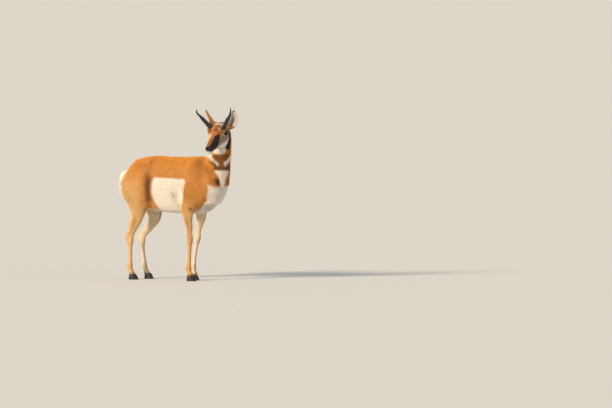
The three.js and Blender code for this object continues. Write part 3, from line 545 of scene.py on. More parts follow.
@dataclass
class Grid:
    """A box of cells whose rows may be closer together where the form is finer."""

    xs: Array
    ys: Array
    zs: Array

    def values(self, distance: Field, window: Window | None = None) -> Array:
        """The field at every corner, in slabs, and far outside where window leaves a slab out.

        Args:
            distance: field of x, y and z.
            window: the part of x and y to look at in a slab, from its lowest and highest z.

        Returns:
            An array with one value for each corner.
        """
        out = np.full((len(self.xs), len(self.ys), len(self.zs)), 50, np.float32)
        for k in range(0, len(self.zs), 12):
            zs = self.zs[k:k + 12]
            low, high = window(zs[0], zs[-1]) if window else ((-1e9, -1e9), (1e9, 1e9))
            i = np.flatnonzero((self.xs >= low[0]) & (self.xs <= high[0]))
            j = np.flatnonzero((self.ys >= low[1]) & (self.ys <= high[1]))
            x, y, z = np.meshgrid(self.xs[i], self.ys[j], zs, indexing="ij")
            d = distance(x.ravel(), y.ravel(), z.ravel()).reshape(x.shape)
            out[i[0]:i[-1] + 1, j[0]:j[-1] + 1, k:k + len(zs)] = d
        return out

    def net(self, distance: Field, window: Window | None = None, rounds: int = 3) -> tuple[Array, Array]:
        """The field's surface as closed four-sided faces, one vertex for each sheet in each cell.

        Args:
            distance: field of x, y and z, below 0 inside.
            window: as for values().
            rounds: how often the vertices are moved onto the surface.

        Returns:
            The vertices and the faces.
        """
        value = self.values(distance, window)
        inside = value < 0
        cells = tuple(n - 1 for n in value.shape)
        mask = np.zeros(cells, np.uint8)
        for c in range(8):
            a, b, e = c & 1, c >> 1 & 1, c >> 2 & 1
            mask |= inside[a:a + cells[0], b:b + cells[1], e:e + cells[2]].astype(np.uint8) << c
        sheets = SHEET_COUNT[mask]
        first = np.cumsum(sheets.ravel()).reshape(cells) - sheets
        total = int(sheets.sum())
        at = np.argwhere(sheets > 0)
        here = mask[at[:, 0], at[:, 1], at[:, 2]]
        start = first[at[:, 0], at[:, 1], at[:, 2]]
        axes = (self.xs, self.ys, self.zs)
        point, hits, room = np.zeros((total, 3)), np.zeros(total), np.zeros(total)
        for e, (a, b) in enumerate(CELL_EDGES):
            sheet = SHEET_OF[here, e]
            use = sheet >= 0
            cell, owner = at[use], start[use] + sheet[use]
            ends = [cell + [c & 1, c >> 1 & 1, c >> 2 & 1] for c in (a, b)]
            va, vb = (value[tuple(end.T)] for end in ends)
            t = (va / (va - vb))[:, None]
            pa, pb = (np.stack([axes[m][end[:, m]] for m in range(3)], -1) for end in ends)
            point[owner] += pa + (pb - pa) * t
            hits[owner] += 1
            room[owner] = np.maximum(room[owner], 0.6 * np.linalg.norm(pb - pa, axis=1))
        point /= hits[:, None]
        return settled(distance, point, room, rounds), self.faces(inside, mask, first)

    @staticmethod
    def faces(inside: Array, mask: Array, first: Array) -> Array:
        """Joins the cells' vertices across every crossed edge.

        Args:
            inside: whether each corner is inside.
            mask: each cell's kind.
            first: each cell's first vertex.

        Returns:
            The faces, all outward.
        """
        out = []
        for axis in range(3):
            u, v = (axis + 1) % 3, (axis + 2) % 3
            ahead = np.diff(inside.astype(np.int8), axis=axis) != 0
            at = np.argwhere(ahead)
            at = at[(at[:, u] > 0) & (at[:, v] > 0)]
            at = at[(at[:, u] < mask.shape[u]) & (at[:, v] < mask.shape[v])]
            ring = []
            for back_u, back_v in ((0, 0), (1, 0), (1, 1), (0, 1)):
                owner = at.copy()
                owner[:, u] -= back_u
                owner[:, v] -= back_v
                corner = back_u << u | back_v << v
                edge = CELL_EDGES.index((corner, corner | 1 << axis))
                cell = tuple(owner.T)
                ring.append(first[cell] + SHEET_OF[mask[cell], edge])
            quad = np.stack(ring, -1)
            outward = inside[tuple(at.T)]
            quad[~outward] = quad[~outward][:, ::-1]
            out.append(quad)
        return np.vstack(out)


def slope(distance: Field, p: Array, step: float = 0.5) -> Array:
    """The field's gradient at points.

    Args:
        distance: the field.
        p: the points.
        step: how far off it is sampled.

    Returns:
        One row for each point.
    """
    out = np.empty_like(p)
    for axis in range(3):
        d = np.zeros(3)
        d[axis] = step
        out[:, axis] = (distance(*(p + d).T) - distance(*(p - d).T)) / (2 * step)
    return out


def settled(distance: Field, p: Array, room: Array, rounds: int) -> Array:
    """Points moved onto the surface of a field, each by no more than its room.

    Args:
        distance: the field.
        p: the points.
        room: how far each may go.
        rounds: how many steps.

    Returns:
        The moved points.
    """
    start = p.copy()
    for _ in range(rounds):
        g = slope(distance, p)
        steep = np.maximum((g * g).sum(1), 0.05)
        p = p - g * (distance(*p.T) / steep)[:, None]
        way = p - start
        far = np.maximum(np.linalg.norm(way, axis=1), 1e-9)
        p = start + way * np.minimum(1, room / far)[:, None]
    return p


def rows(*stretches: tuple[float, float, float]) -> Array:
    """Places along an axis, from stretches of (from, to, spacing) that follow each other.

    Args:
        stretches: one after another.

    Returns:
        The places.
    """
    out = []
    for low, high, spacing in stretches:
        count = max(1, round((high - low) / spacing))
        out.append(np.linspace(low, high, count, endpoint=False))
    return np.append(np.concatenate(out), stretches[-1][1])


def mesh_of(name: str, points: Array, faces: Array, smooth: bool = True) -> Object:
    """A mesh object at the origin.

    Args:
        name: its name.
        points: its vertices in the body frame.
        faces: corners of each face.
        smooth: whether it is shaded smooth.

    Returns:
        The object.
    """
    mesh = bpy.data.meshes.new(name)
    corners = faces.shape[1]
    mesh.vertices.add(len(points))
    mesh.vertices.foreach_set("co", ANATOMY.to_row(points).astype(np.float32).ravel())
    mesh.loops.add(faces.size)
    mesh.loops.foreach_set("vertex_index", faces.astype(np.int32).ravel())
    mesh.polygons.add(len(faces))
    mesh.polygons.foreach_set("loop_start", np.arange(0, faces.size, corners, dtype=np.int32))
    mesh.polygons.foreach_set("use_smooth", np.full(len(faces), smooth))
    mesh.update(calc_edges=True)
    mesh.validate()
    return linked(name, mesh)


def linked(name: str, data: bpy.types.ID) -> Object:
    """A new object in the scene.

    Args:
        name: its name.
        data: its mesh, camera or light.

    Returns:
        The object.
    """
    obj = bpy.data.objects.new(name, data)
    bpy.context.scene.collection.objects.link(obj)
    return obj


def set_attribute(obj: Object, name: str, kind: str, values: Array) -> None:
    """Gives each vertex of a mesh a value.

    Args:
        obj: the mesh's object.
        name: the attribute.
        kind: FLOAT, FLOAT_VECTOR or FLOAT_COLOR.
        values: one for each vertex.
    """
    layer = obj.data.attributes.new(name, kind, "POINT")
    word = {"FLOAT": "value", "FLOAT_VECTOR": "vector", "FLOAT_COLOR": "color"}[kind]
    layer.data.foreach_set(word, values.astype(np.float32).ravel())


def main_part(points: Array, faces: Array) -> tuple[Array, Array]:
    """The largest connected part of a mesh.

    Args:
        points: the vertices.
        faces: their corners.

    Returns:
        Its vertices and faces.
    """
    ends = np.stack([faces, np.roll(faces, -1, 1)], -1).reshape(-1, 2)
    label = np.arange(len(points))
    while True:
        low = np.minimum(label[ends[:, 0]], label[ends[:, 1]])
        new = label.copy()
        np.minimum.at(new, ends[:, 0], low)
        np.minimum.at(new, ends[:, 1], low)
        new = new[new[new]]
        if (new == label).all():
            break
        label = new
    keep = label == np.bincount(label).argmax()
    place = np.cumsum(keep) - 1
    return points[keep], place[faces[keep[faces[:, 0]]]]


def srgb(red: float, green: float, blue: float) -> Array:
    """A colour of 0 to 255 on the screen as light."""
    c = np.array([red, green, blue]) / 255
    return np.where(c <= 0.04045, c / 12.92, ((c + 0.055) / 1.055) ** 2.4)


def ripple(p: Array, size: float) -> Array:
    """Smooth noise of about -1 to 1 with waves about as long as size.

    Args:
        p: places.
        size: length of a wave.

    Returns:
        One value for each place.
    """
    k = 2 * math.pi / size
    x, y, z = p[:, 0] * k, p[:, 1] * k, p[:, 2] * k
    return (
        np.sin(x + 1.3 * np.sin(0.7 * z + 1)) * np.sin(z * 1.1 + 0.9 * np.sin(0.8 * y))
        + 0.6 * np.sin(1.9 * y + 1.1 * np.sin(1.3 * x)) * np.sin(2.3 * z + 0.4)
        + 0.4 * np.sin(3.7 * x + 2 * np.sin(z)) * np.sin(3.1 * y + 2.9 * z)
    ) / 1.4


class Fur(Enum):
    """Colours of the coat."""

    TAN = (208, 145, 72)
    BACK = (198, 124, 42)
    DEEP = (126, 76, 38)
    WHITE = (233, 223, 208)
    CREAM = (230, 196, 142)
    BROWN = (84, 48, 26)
    BLACK = (30, 23, 20)
    RUST = (176, 104, 46)
    CHEEK = (146, 122, 100)
    JAW = (206, 196, 182)
    CROWN = (198, 186, 170)
    MASK = (32, 25, 27)

    @property
    def light(self) -> Array:
        """The colour as light."""
        return srgb(*self.value)


def soft_low(*distances: Array, reach: float = 36) -> Array:
    """The lowest of several distances, with corners rounded over about reach.

    Args:
        distances: the distances.
        reach: width of the rounding.

    Returns:
        The lowest.
    """
    out = distances[0]
    for d in distances[1:]:
        out = join(out, d, reach)
    return out


@dataclass
class Place:
    """What the markings and the coat need to know about points near the skin."""

    p: Array
    q: Array
    skull: Array
    head: Array
    neck: Array
    theta: Array
    leg: Array
    leg_along: Array
    leg_across: Array

    @classmethod
    def of(cls, p: Array) -> "Place":
        """Looks up points given in the body frame.

        Args:
            p: places in the body frame.

        Returns:
            What is known of them.
        """
        x, y, z = p.T
        q = ANATOMY.to_head(p)
        skull = ANATOMY.head(*q.T)
        head = ramp(skull, 26, 6) * ramp(z, 860, 900)
        cx, cy = ANATOMY.neck_at(z)[:2]
        throat = np.interp(z, THROAT_Z, THROAT_DEGREES)
        theta = np.degrees(np.arctan2(y - cy, x - cx)) - throat
        theta = (theta + 180) % 360 - 180
        front = 0.809 * (x - 300) + 0.588 * (z - 850)
        neck = ramp(front, -70, 0) * (1 - head)
        leg, along, across = (np.zeros_like(x) for _ in range(3))
        for _, side, shape, line in ANATOMY.legs:
            lx, ly = line(z)
            deep, wide, ahead = shape(z)
            a, b = x - lx - ahead, (y * side - ly)
            own = ramp(np.hypot(a / (deep + 12), b / (wide + 14)), 1.35, 1.0) * ramp(z, 560, 440)
            along = np.where(own > leg, a / deep, along)
            across = np.where(own > leg, b / wide, across)
            leg = np.maximum(leg, own)
        return cls(p, q, skull, head, neck, theta, leg, along, across)


# The way that the throat faces, in degrees from +X, at heights up the neck
THROAT_Z = [560, 640, 700, 764, 806, 870, 919, 970, 1020, 1095]
THROAT_DEGREES = [0, -10, -20, -36, -47, -60, -68, -78, -84, -86]


class Markings:
    """The coat's colours at any place: patches of the trunk, bands of the neck, mask of the face."""

    def colours(self, at: Place) -> Array:
        """The colour of the coat as light.

        Args:
            at: the places to look up.

        Returns:
            One row of red, green and blue for each place.
        """
        self.at = at
        self.out = np.tile(Fur.TAN.light, (len(at.p), 1))
        self.fray = 0.6 * ripple(at.p, 34) + 0.4 * ripple(at.p, 13)
        self.trunk()
        self.legs()
        self.neck()
        self.face()
        return np.clip(self.out, 0, 1)

    def paint(self, colour: Fur, share: Array) -> None:
        """Lays a colour over what is there, by a share from 0 to 1."""
        share = np.clip(share, 0, 1)[:, None]
        self.out = self.out * (1 - share) + colour.light * share

    def edge(self, distance: Array, soft: float = 7) -> Array:
        """1 where distance is above 0, with an edge that frays."""
        return ramp(distance + soft * 0.8 * self.fray, -soft, soft)

    def trunk(self) -> None:
        """Back, flank, belly, chest and rump, with painted shade in the fold before the thigh and in the creases by the
        elbows.
        """
        x, y, z = self.at.p.T
        far = np.abs(y)
        self.paint(Fur.BACK, 0.75 * ramp(z, 770, 866))
        self.paint(Fur.BACK, 0.3 * (ripple(self.at.p, 90) + 0.3))
        top = np.interp(x, [-101, 20, 178], [731, 727, 722])
        rear = np.interp(z, [509, 568, 622, 720], [-76, -95, -102, -102])
        front = np.interp(z, [500, 520, 559, 640, 714], [128, 134, 145, 162, 178])
        flank = soft_low(top - z, x - rear, front - x)
        self.paint(Fur.WHITE, self.edge(flank))
        self.paint(Fur.CHEEK, 0.55 * bell(x - 78, 24) * bell(z - 604, 34) * ramp(self.fray, -0.7, 0.6))
        # Painted shade in the fold between the thigh and the flank, over hair that is a little darker there
        self.paint(Fur.DEEP, bell(x + 135 + 5 * self.fray, 25) * ramp(z, 530, 570) * ramp(z, 780, 700))
        self.paint(Fur.BROWN, 0.5 * bell(x + 124, 9) * ramp(z, 560, 600) * ramp(z, 760, 690))
        self.paint(Fur.DEEP, 0.35 * bell(x + 142 - 0.2 * (z - 760), 24) * ramp(z, 700, 760) * ramp(z, 890, 850))
        self.paint(Fur.CREAM, 0.65 * ramp(x, -150, -240) * ramp(z, 790, 600))
        self.paint(Fur.CREAM, 0.3 * ramp(z, 620, 520) * (1 - ramp(np.abs(x - 150), 60, 90)))
        belly = soft_low(np.interp(x, [-330, -100, 120, 300], [560, 500, 497, 500]) - z, 74 - far)
        self.paint(Fur.WHITE, self.edge(belly) * ramp(z, 400, 440))
        chest_edge = np.interp(z, [470, 488, 505, 540, 576, 591, 648, 704], [216, 226, 240, 286, 324, 324, 342, 334])
        chest_top = np.interp(x, [320, 346, 365, 402, 430], [706, 687, 677, 672, 676])
        chest = soft_low(x - chest_edge, chest_top - z, reach=18)
        self.paint(Fur.WHITE, self.edge(chest))
        # Painted shade in the creases where the forelegs meet the chest
        self.paint(Fur.BROWN, 0.7 * bell(x - 206, 15) * bell(z - 512, 14) * ramp(far, 40, 60))
        self.paint(Fur.CHEEK, 0.35 * bell(x - 300, 40) * bell(z - 520, 22))
        rump = np.interp(z, [540, 560, 594, 634, 680, 740, 800, 815],
                         [-420, -356, -338, -353, -360, -345, -320, -330]) - x
        self.paint(Fur.WHITE, self.edge(soft_low(rump, 812 - z)))
        self.paint(Fur.CREAM, 0.5 * self.edge(rump + 16, 10) * self.edge(-rump, 6) * ramp(z, 560, 600))
        self.paint(Fur.DEEP, 0.8 * bell(far, 9) * ramp(x, -330, -362) * ramp(z, 770, 800))

    def legs(self) -> None:
        """Paler insides and backs, darker fronts and pasterns."""
        at = self.at
        x, _, z = at.p.T
        inner = ramp(at.leg_across, -0.1, -0.6)
        back = ramp(at.leg_along, -0.35, -0.8) * ramp(z, 330, 420)
        self.paint(Fur.TAN, at.leg * ramp(z, 470, 420) * 0.6)
        self.paint(Fur.CREAM, at.leg * ramp(z, 560, 440) * np.where(x < 0, 0.55, 0.35))
        self.paint(Fur.CREAM, at.leg * np.maximum(inner, 0.8 * back) * ramp(z, 560, 500) * 0.85)
        self.paint(Fur.WHITE, at.leg * inner * ramp(z, 540, 460) * 0.5)
        outer = bell(at.leg_along - 0.1, 0.3) * ramp(at.leg_across, 0.2, 0.8)
        self.paint(Fur.DEEP, 0.4 * at.leg * outer * ramp(z, 300, 330) * ramp(z, 480, 420))
        self.paint(Fur.DEEP, 0.3 * at.leg * ramp(at.leg_along, 0.4, 0.9) * ramp(z, 330, 250))
        self.paint(Fur.DEEP, 0.5 * at.leg * ramp(z, 60, 40))

    def neck(self) -> None:
        """Throat, crescents, dark bands and the white patch on the chest, with painted light on the neck's right side.
        """
        at = self.at
        z = at.p[:, 2]
        turn_by = np.abs(at.theta)
        on = at.neck * ramp(z, 560, 600)
        self.paint(Fur.BACK, on * 0.85 * ramp(turn_by, 30, 60))
        self.paint(Fur.DEEP, on * 0.6 * ramp(turn_by, 150, 172))
        # Painted light: the neck's right side, where the key light falls, paler than its left
        self.paint(Fur.TAN, on * 0.75 * ramp(at.theta, -28, -50) * ramp(at.theta, -140, -105) * ramp(z, 930, 880))
        fore = ramp(np.abs(at.theta - 6), 62, 38)
        self.paint(Fur.DEEP, on * (0.78 + 0.14 * self.fray) * fore * ramp(z, 780, 792) * ramp(z, 915, 895))
        arm = np.interp(at.theta, [-100, -60, -35, -17, -8, 8, 19, 47, 80],
                        [904, 878, 860, 835, 827, 827, 835, 860, 888])
        mm = 1.2 * np.abs(at.theta - 2)
        crescent = soft_low(15 - np.abs(z - arm), mm - 15, 118 - mm, reach=8)
        self.paint(Fur.WHITE, on * self.edge(crescent, 4))
        self.paint(Fur.BROWN, on * 0.45 * bell(z - 803, 13) * ramp(mm, 70, 40))
        off = at.theta + np.interp(z, [672, 733, 786], [10, 2, 1])
        side = np.interp(z, [640, 655, 668, 690, 718, 733, 761, 786], [64, 26, 10, 9, 12, 16, 26, 38]) * 1.2
        blob = bell(at.theta + 27, 11) * bell(z - 706, 24) + 0.4 * bell(at.theta - 24, 11) * bell(z - 712, 24)
        self.paint(Fur.BROWN, on * (1.5 * blob).clip(0, 1) * 0.95)
        self.paint(Fur.BROWN, on * 0.5 * bell(at.theta + 47, 6) * bell(z - 716, 9))
        patch = soft_low(787 - z, side - 1.2 * np.abs(off), z - 600, reach=8)
        self.paint(Fur.WHITE, on * self.edge(patch, 4))
        under = np.interp(at.theta, [-95, -75, -55, 0, 22, 34, 64, 86], [1023, 930, 905, 903, 905, 930, 981, 1023])
        throat = soft_low(z - under, 125 - mm, reach=10)
        self.paint(Fur.WHITE, on * self.edge(throat, 4))
        self.paint(Fur.CREAM, on * 0.8 * bell(z - under - 2, 6) * ramp(mm, 125, 105))
        self.jaw_patch()

    def jaw_patch(self) -> None:
        """The black patch behind the jaw."""
        patch = capsule(self.at.q, self.at.q[:, 1])
        self.paint(Fur.BLACK, self.edge(17 - patch, 4) * ramp(self.at.p[:, 2], 860, 900))

    def face(self) -> None:
        """Mask, cheeks, jaw, crown and the rim of the eye, with painted light on the face's right side and painted
        shade on its left.
        """
        at = self.at
        s, l, t = at.q.T
        wide = np.abs(l)
        on = at.head
        self.paint(Fur.RUST, on * 0.8 * ramp(t, -40, -10))
        # Painted light: the face's right side, where the key light falls, tan and cream
        self.paint(Fur.TAN, on * ramp(l, -14, -30) * ramp(s, 40, 60) * ramp(t, -40, -20))
        self.paint(Fur.CREAM, on * 0.65 * ramp(l, -8, -24) * ramp(s, 44, 62) * ramp(s, 118, 96) * ramp(t, -46, -26))
        # Grey-brown cheek, full on the face's shaded left side and weaker on its right: partly painted shade
        cheek = np.interp(s, [-60, 0, 20, 42, 72, 113, 150], [-8, -14, -6, 6, -5, -36, -41])
        self.paint(Fur.CHEEK, on * ramp(t - cheek, 12, -8) * (0.55 + 0.45 * ramp(l, -20, 0)))
        self.paint(Fur.RUST, on * 0.35 * bell(t - cheek + 10, 10) * ramp(s, 8, 30) * ramp(s, 100, 70))
        white = np.interp(s, [-60, -6, 30, 69, 98, 130, 160], [-58, -70, -60, -44, -52, -46, -40])
        self.paint(Fur.JAW, on * self.edge(white - t, 5))
        self.paint(Fur.WHITE, on * ramp(t - white, -10, -24))
        self.paint(Fur.CROWN, on * self.edge(soft_low(-28 - s, s + 62, 30 - wide, reach=12), 6) * ramp(t, 12, 24))
        self.paint(Fur.BLACK, on * 0.9 * bell(s + 26, 4.5) * ramp(wide, 34, 22) * ramp(t, 12, 24))
        self.paint(Fur.BROWN, on * 0.9 * bell(s - 26, 11) * bell(l - 5, 10) * ramp(t, 12, 24))
        self.paint(Fur.DEEP, on * (0.5 + 0.3 * self.fray) * ramp(s, -16, -4) * ramp(s, 48, 30) * ramp(t, 8, 20))
        self.paint(Fur.BROWN, on * 0.7 * bell(s - 30, 12) * bell(wide - 40, 9) * ramp(t, 10, 20))
        self.paint(Fur.CREAM, on * 0.5 * bell(s - 8, 16) * bell(wide - 24, 8) * ramp(t, 12, 24))
        self.paint(Fur.JAW, on * ramp(s, 138, 154) * ramp(t, -6, -16))
        # The real dark mask, painted black only on the face's shaded left side and a lighter brown on its lit right
        # side: painted shade and painted light
        near_side = np.interp(s, [42, 72, 113, 150, 190], [13, -8, -38, -41, -41])
        mask = soft_low(s - 44, 190 - s, t - near_side, l - np.interp(s, [44, 60, 75, 120, 170], [30, 19, 11, 10, 2]),
                        reach=12)
        far_side = soft_low(s - 88, 190 - s, np.interp(s, [88, 130, 186], [12, 34, 33]) - wide, t + 38, reach=12)
        self.paint(Fur.DEEP, on * 0.7 * self.edge(far_side, 6))
        self.paint(Fur.MASK, on * self.edge(mask, 5))
        self.paint(Fur.BLACK, on * ramp(s, 156, 170) * ramp(t, -30, -18))
        self.paint(Fur.WHITE, on * 0.9 * ramp(s, 140, 160) * ramp(t, -27, -34))
        self.paint(Fur.WHITE, on * 0.9 * ramp(s, 112, 130) * ramp(t + 40, 2, -4))
        self.jaw_patch()
        eye = np.stack([s, wide - EYE_SIDE, t], -1) @ EYE_AXES.T
        ring = np.where(eye[:, 2] > 0, almond(eye[:, 0], eye[:, 1]), FAR)
        self.paint(Fur.JAW, on * 0.5 * ramp(ring, 16, 9))
        self.paint(Fur.BLACK, on * ramp(ring - 2 * ramp(eye[:, 0], 6, 20), 8, 3.5))


def capsule(q: Array, l: Array) -> Array:
    """Distance to the line of the black patch behind the jaw, on either side.

    Args:
        q: places in the head's frame.
        l: how far each is to the animal's left.

    Returns:
        The distances.
    """
    a, b = np.array([-62.0, -62.0]), np.array([4.0, -134.0])
    p = q[:, [0, 2]] - a
    k = np.clip((p @ (b - a)) / ((b - a) @ (b - a)), 0, 1)[:, None]
    flat = np.linalg.norm(p - k * (b - a), axis=1)
    return np.where(np.abs(l) > 22, flat, flat + 22 - np.abs(l))


class Growth:
    """How the coat lies, and how long, wide and close its tufts are."""

    @staticmethod
    def lie(at: Place, normal: Array) -> Array:
        """The way that the hair points, along the skin.

        Args:
            at: the places to look up.
            normal: the skin's outward direction there.

        Returns:
            One unit vector for each place, in the body frame.
        """
        x, _, z = at.p.T
        s, l, t = at.q.T
        way = np.tile([-1.0, 0, -0.3], (len(x), 1))

        def toward(target: Any, share: Array) -> None:
            """Bends the way towards a target."""
            nonlocal way
            share = np.clip(share, 0, 1)[:, None]
            way = way * (1 - share) + np.broadcast_to(target, way.shape) * share

        toward([-0.45, 0, -0.9], ramp(z, 720, 600) * ramp(x, -110, -160))
        toward([-0.35, 0, -0.95], ramp(z, 720, 600) * ramp(x, 130, 180))
        toward([-0.5, 0, -0.85], at.neck * 0.9)
        toward([0.1, 0, -1.0], ramp(x, 300, 360) * ramp(z, 800, 700))
        toward([-0.25, 0, -1.0], ramp(x, -345, -385))
        toward([-0.12, 0, -1.0], np.maximum(at.leg, ramp(z, 470, 400)))
        back = np.stack([-np.ones_like(s), 0.25 * np.sign(l) * ramp(s, 60, 0), np.full_like(s, -0.25)], -1)
        back[:, 2] -= 0.5 * ramp(t, -20, -60)
        toward(back @ ANATOMY.head_turn.T, at.head)
        way += 0.07 * np.stack([ripple(at.p, 60), ripple(at.p[:, [1, 2, 0]], 70), ripple(at.p[:, [2, 0, 1]], 50)], -1)
        way -= normal * (way * normal).sum(1)[:, None]
        return unit(way)

    @staticmethod
    def tufts(at: Place) -> tuple[Array, Array, Array]:
        """Size and closeness of the tufts.

        Args:
            at: the places to look up.

        Returns:
            Length and width in millimetres, and number to a square centimetre.
        """
        x, _, z = at.p.T
        s, l, t = at.q.T
        length, width, count = np.full(len(x), 20.0), np.full(len(x), 2.5), np.full(len(x), 13.1)
        shank = ramp(z, 520, 330)
        length += (9 - length) * shank
        width += (1.6 - width) * shank
        count += (19.0 - count) * shank
        rump = ramp(x, -318, -350) * ramp(z, 540, 600)
        length += (32 - length) * rump
        width += (3.0 - width) * rump
        length += (23 - 10 * ramp(at.skull, 90, 30) - length) * at.neck * 0.8
        width += (2.0 - width) * at.neck
        count += (15.0 - count) * at.neck
        fine = ramp(s, -90, 20)
        head = at.head
        length += (11 - 5.0 * fine - length) * head
        width += (2.0 - 0.8 * fine - width) * head
        count += (17.5 + 7.5 * fine - count) * head
        length *= 1 - 0.35 * head * ramp(s, 120, 170)
        eye = np.stack([s, np.abs(l) - EYE_SIDE, t], -1) @ EYE_AXES.T
        ring = np.where(eye[:, 2] > 2, almond(eye[:, 0], eye[:, 1]), FAR)
        bare = np.maximum(ramp(ring, 5.5, 3.5), ramp(s, 168, 174) * ramp(t, -34, -30))
        m = mouth_line(s)
        bare = np.maximum(bare, ramp(np.abs(t - m), 4, 2.6) * ramp(s, 108, 116))
        count *= 1 - bare * head
        count *= ramp(z, 34, 44)
        return length, width, count


@dataclass(frozen=True)
class Finish:
    """A plain finish: colour on screen, roughness and the grain of its bump."""

    name: str
    colour: tuple[int, int, int]
    roughness: float
    grain: float = 0.0
    grain_scale: float = 300.0
    coat: float = 0.0
    spread: float = 0.25

    def material(self) -> Material:
        """Builds the material, its colour varied by noise on Object coordinates.

        Returns:
            The material.
        """
        material, nodes, links, shader = new_material(self.name)
        shader.inputs["Roughness"].default_value = self.roughness
        shader.inputs["Coat Weight"].default_value = self.coat
        shader.inputs["Coat Roughness"].default_value = 0.04
        noise = noise_of(nodes, links, self.grain_scale, 4)
        mix = nodes.new("ShaderNodeMix")
        mix.data_type = "RGBA"
        low, high = (self.light(1 - self.spread), self.light(1 + self.spread))
        mix.inputs["A"].default_value, mix.inputs["B"].default_value = low, high
        links.new(noise.outputs["Fac"], mix.inputs["Factor"])
        links.new(mix.outputs["Result"], shader.inputs["Base Color"])
        if self.grain:
            raise_by(nodes, links, noise, self.grain, shader)
        return material

    def light(self, gain: float) -> tuple[float, float, float, float]:
        """The colour as light, times a gain, with an alpha of 1."""
        return (*np.clip(srgb(*self.colour) * gain, 0, 1), 1.0)


def new_material(name: str) -> tuple[Any, ...]:
    """An empty Principled material.

    Args:
        name: its name.

    Returns:
        The material, its nodes, its links and its shader.
    """
    material = bpy.data.materials.new(name)
    material.use_nodes = True
    nodes, links = material.node_tree.nodes, material.node_tree.links
    return material, nodes, links, nodes["Principled BSDF"]


def noise_of(nodes: Any, links: Any, scale: float, detail: float) -> Node:
    """Noise on Object coordinates.

    Args:
        nodes, links: the material's own.
        scale, detail: the noise's settings.

    Returns:
        Its node.
    """
    place, noise = nodes.new("ShaderNodeTexCoord"), nodes.new("ShaderNodeTexNoise")
    noise.inputs["Scale"].default_value, noise.inputs["Detail"].default_value = scale, detail
    links.new(place.outputs["Object"], noise.inputs["Vector"])
    return noise


def raise_by(nodes: Any, links: Any, noise: Node, height: float, shader: Node) -> None:
    """Bumps a shader's surface by noise.

    Args:
        nodes, links: the material's own.
        noise: the noise.
        height: how high the bumps are, in metres.
        shader: the shader.
    """
    bump = nodes.new("ShaderNodeBump")
    bump.inputs["Distance"].default_value = height
    links.new(noise.outputs["Fac"], bump.inputs["Height"])
    links.new(bump.outputs["Normal"], shader.inputs["Normal"])


def eye_gloss() -> Material:
    """A wet eye: the ball's own marks under a clear coat.

    Returns:
        The material.
    """
    material, nodes, links, shader = new_material("eye_gloss")
    shader.inputs["Roughness"].default_value = 0.3
    shader.inputs["Specular IOR Level"].default_value = 0.1
    shader.inputs["Coat Weight"].default_value = 0.4
    shader.inputs["Coat Roughness"].default_value = 0.02
    marks = nodes.new("ShaderNodeAttribute")
    marks.attribute_name = "Marks"
    links.new(marks.outputs["Color"], shader.inputs["Base Color"])
    return material


@dataclass(frozen=True)
class FurFinish:
    """Hair's finish: its colour comes from the mesh's own marks, with a grain along the hairs."""

    name: str
    roughness: float
    bump: float
    scale: float

    def material(self) -> Material:
        """Builds the material from the mesh's marks and noise on Object coordinates.

        Returns:
            The material.
        """
        material, nodes, links, shader = new_material(self.name)
        shader.inputs["Roughness"].default_value = self.roughness
        shader.inputs["Specular IOR Level"].default_value = 0.25
        shader.inputs["Sheen Weight"].default_value = 0.12
        shader.inputs["Sheen Roughness"].default_value = 0.5
        marks = nodes.new("ShaderNodeAttribute")
        marks.attribute_name = "Marks"
        noise = noise_of(nodes, links, self.scale, 5)
        noise.inputs["Roughness"].default_value = 0.65
        value = nodes.new("ShaderNodeMapRange")
        value.inputs["From Min"].default_value, value.inputs["From Max"].default_value = 0.3, 0.7
        value.inputs["To Min"].default_value, value.inputs["To Max"].default_value = 0.86, 1.1
        links.new(noise.outputs["Fac"], value.inputs["Value"])
        tone = nodes.new("ShaderNodeVectorMath")
        tone.operation = "SCALE"
        links.new(marks.outputs["Color"], tone.inputs[0])
        links.new(value.outputs["Result"], tone.inputs["Scale"])
        links.new(tone.outputs["Vector"], shader.inputs["Base Color"])
        raise_by(nodes, links, noise, self.bump, shader)
        return material


SKIN_FUR = FurFinish("skin_fur", 0.85, 0.0012, 420)
TUFT_FUR = FurFinish("tuft_fur", 0.8, 0.0004, 900)
HORN_BLACK = Finish("horn_black", (38, 33, 31), 0.42, 0.0006, 260)
HOOF_BLACK = Finish("hoof_black", (34, 29, 27), 0.5, 0.0005, 220)
BARE_SKIN = Finish("bare_skin", (26, 22, 22), 0.45, 0.0003, 900)
FLESH = [
    "torso", "neck", "tail", "head",
    *(f"{leg[0]}_{part}" for leg in LEGS for part in ("upper", "lower")),
]


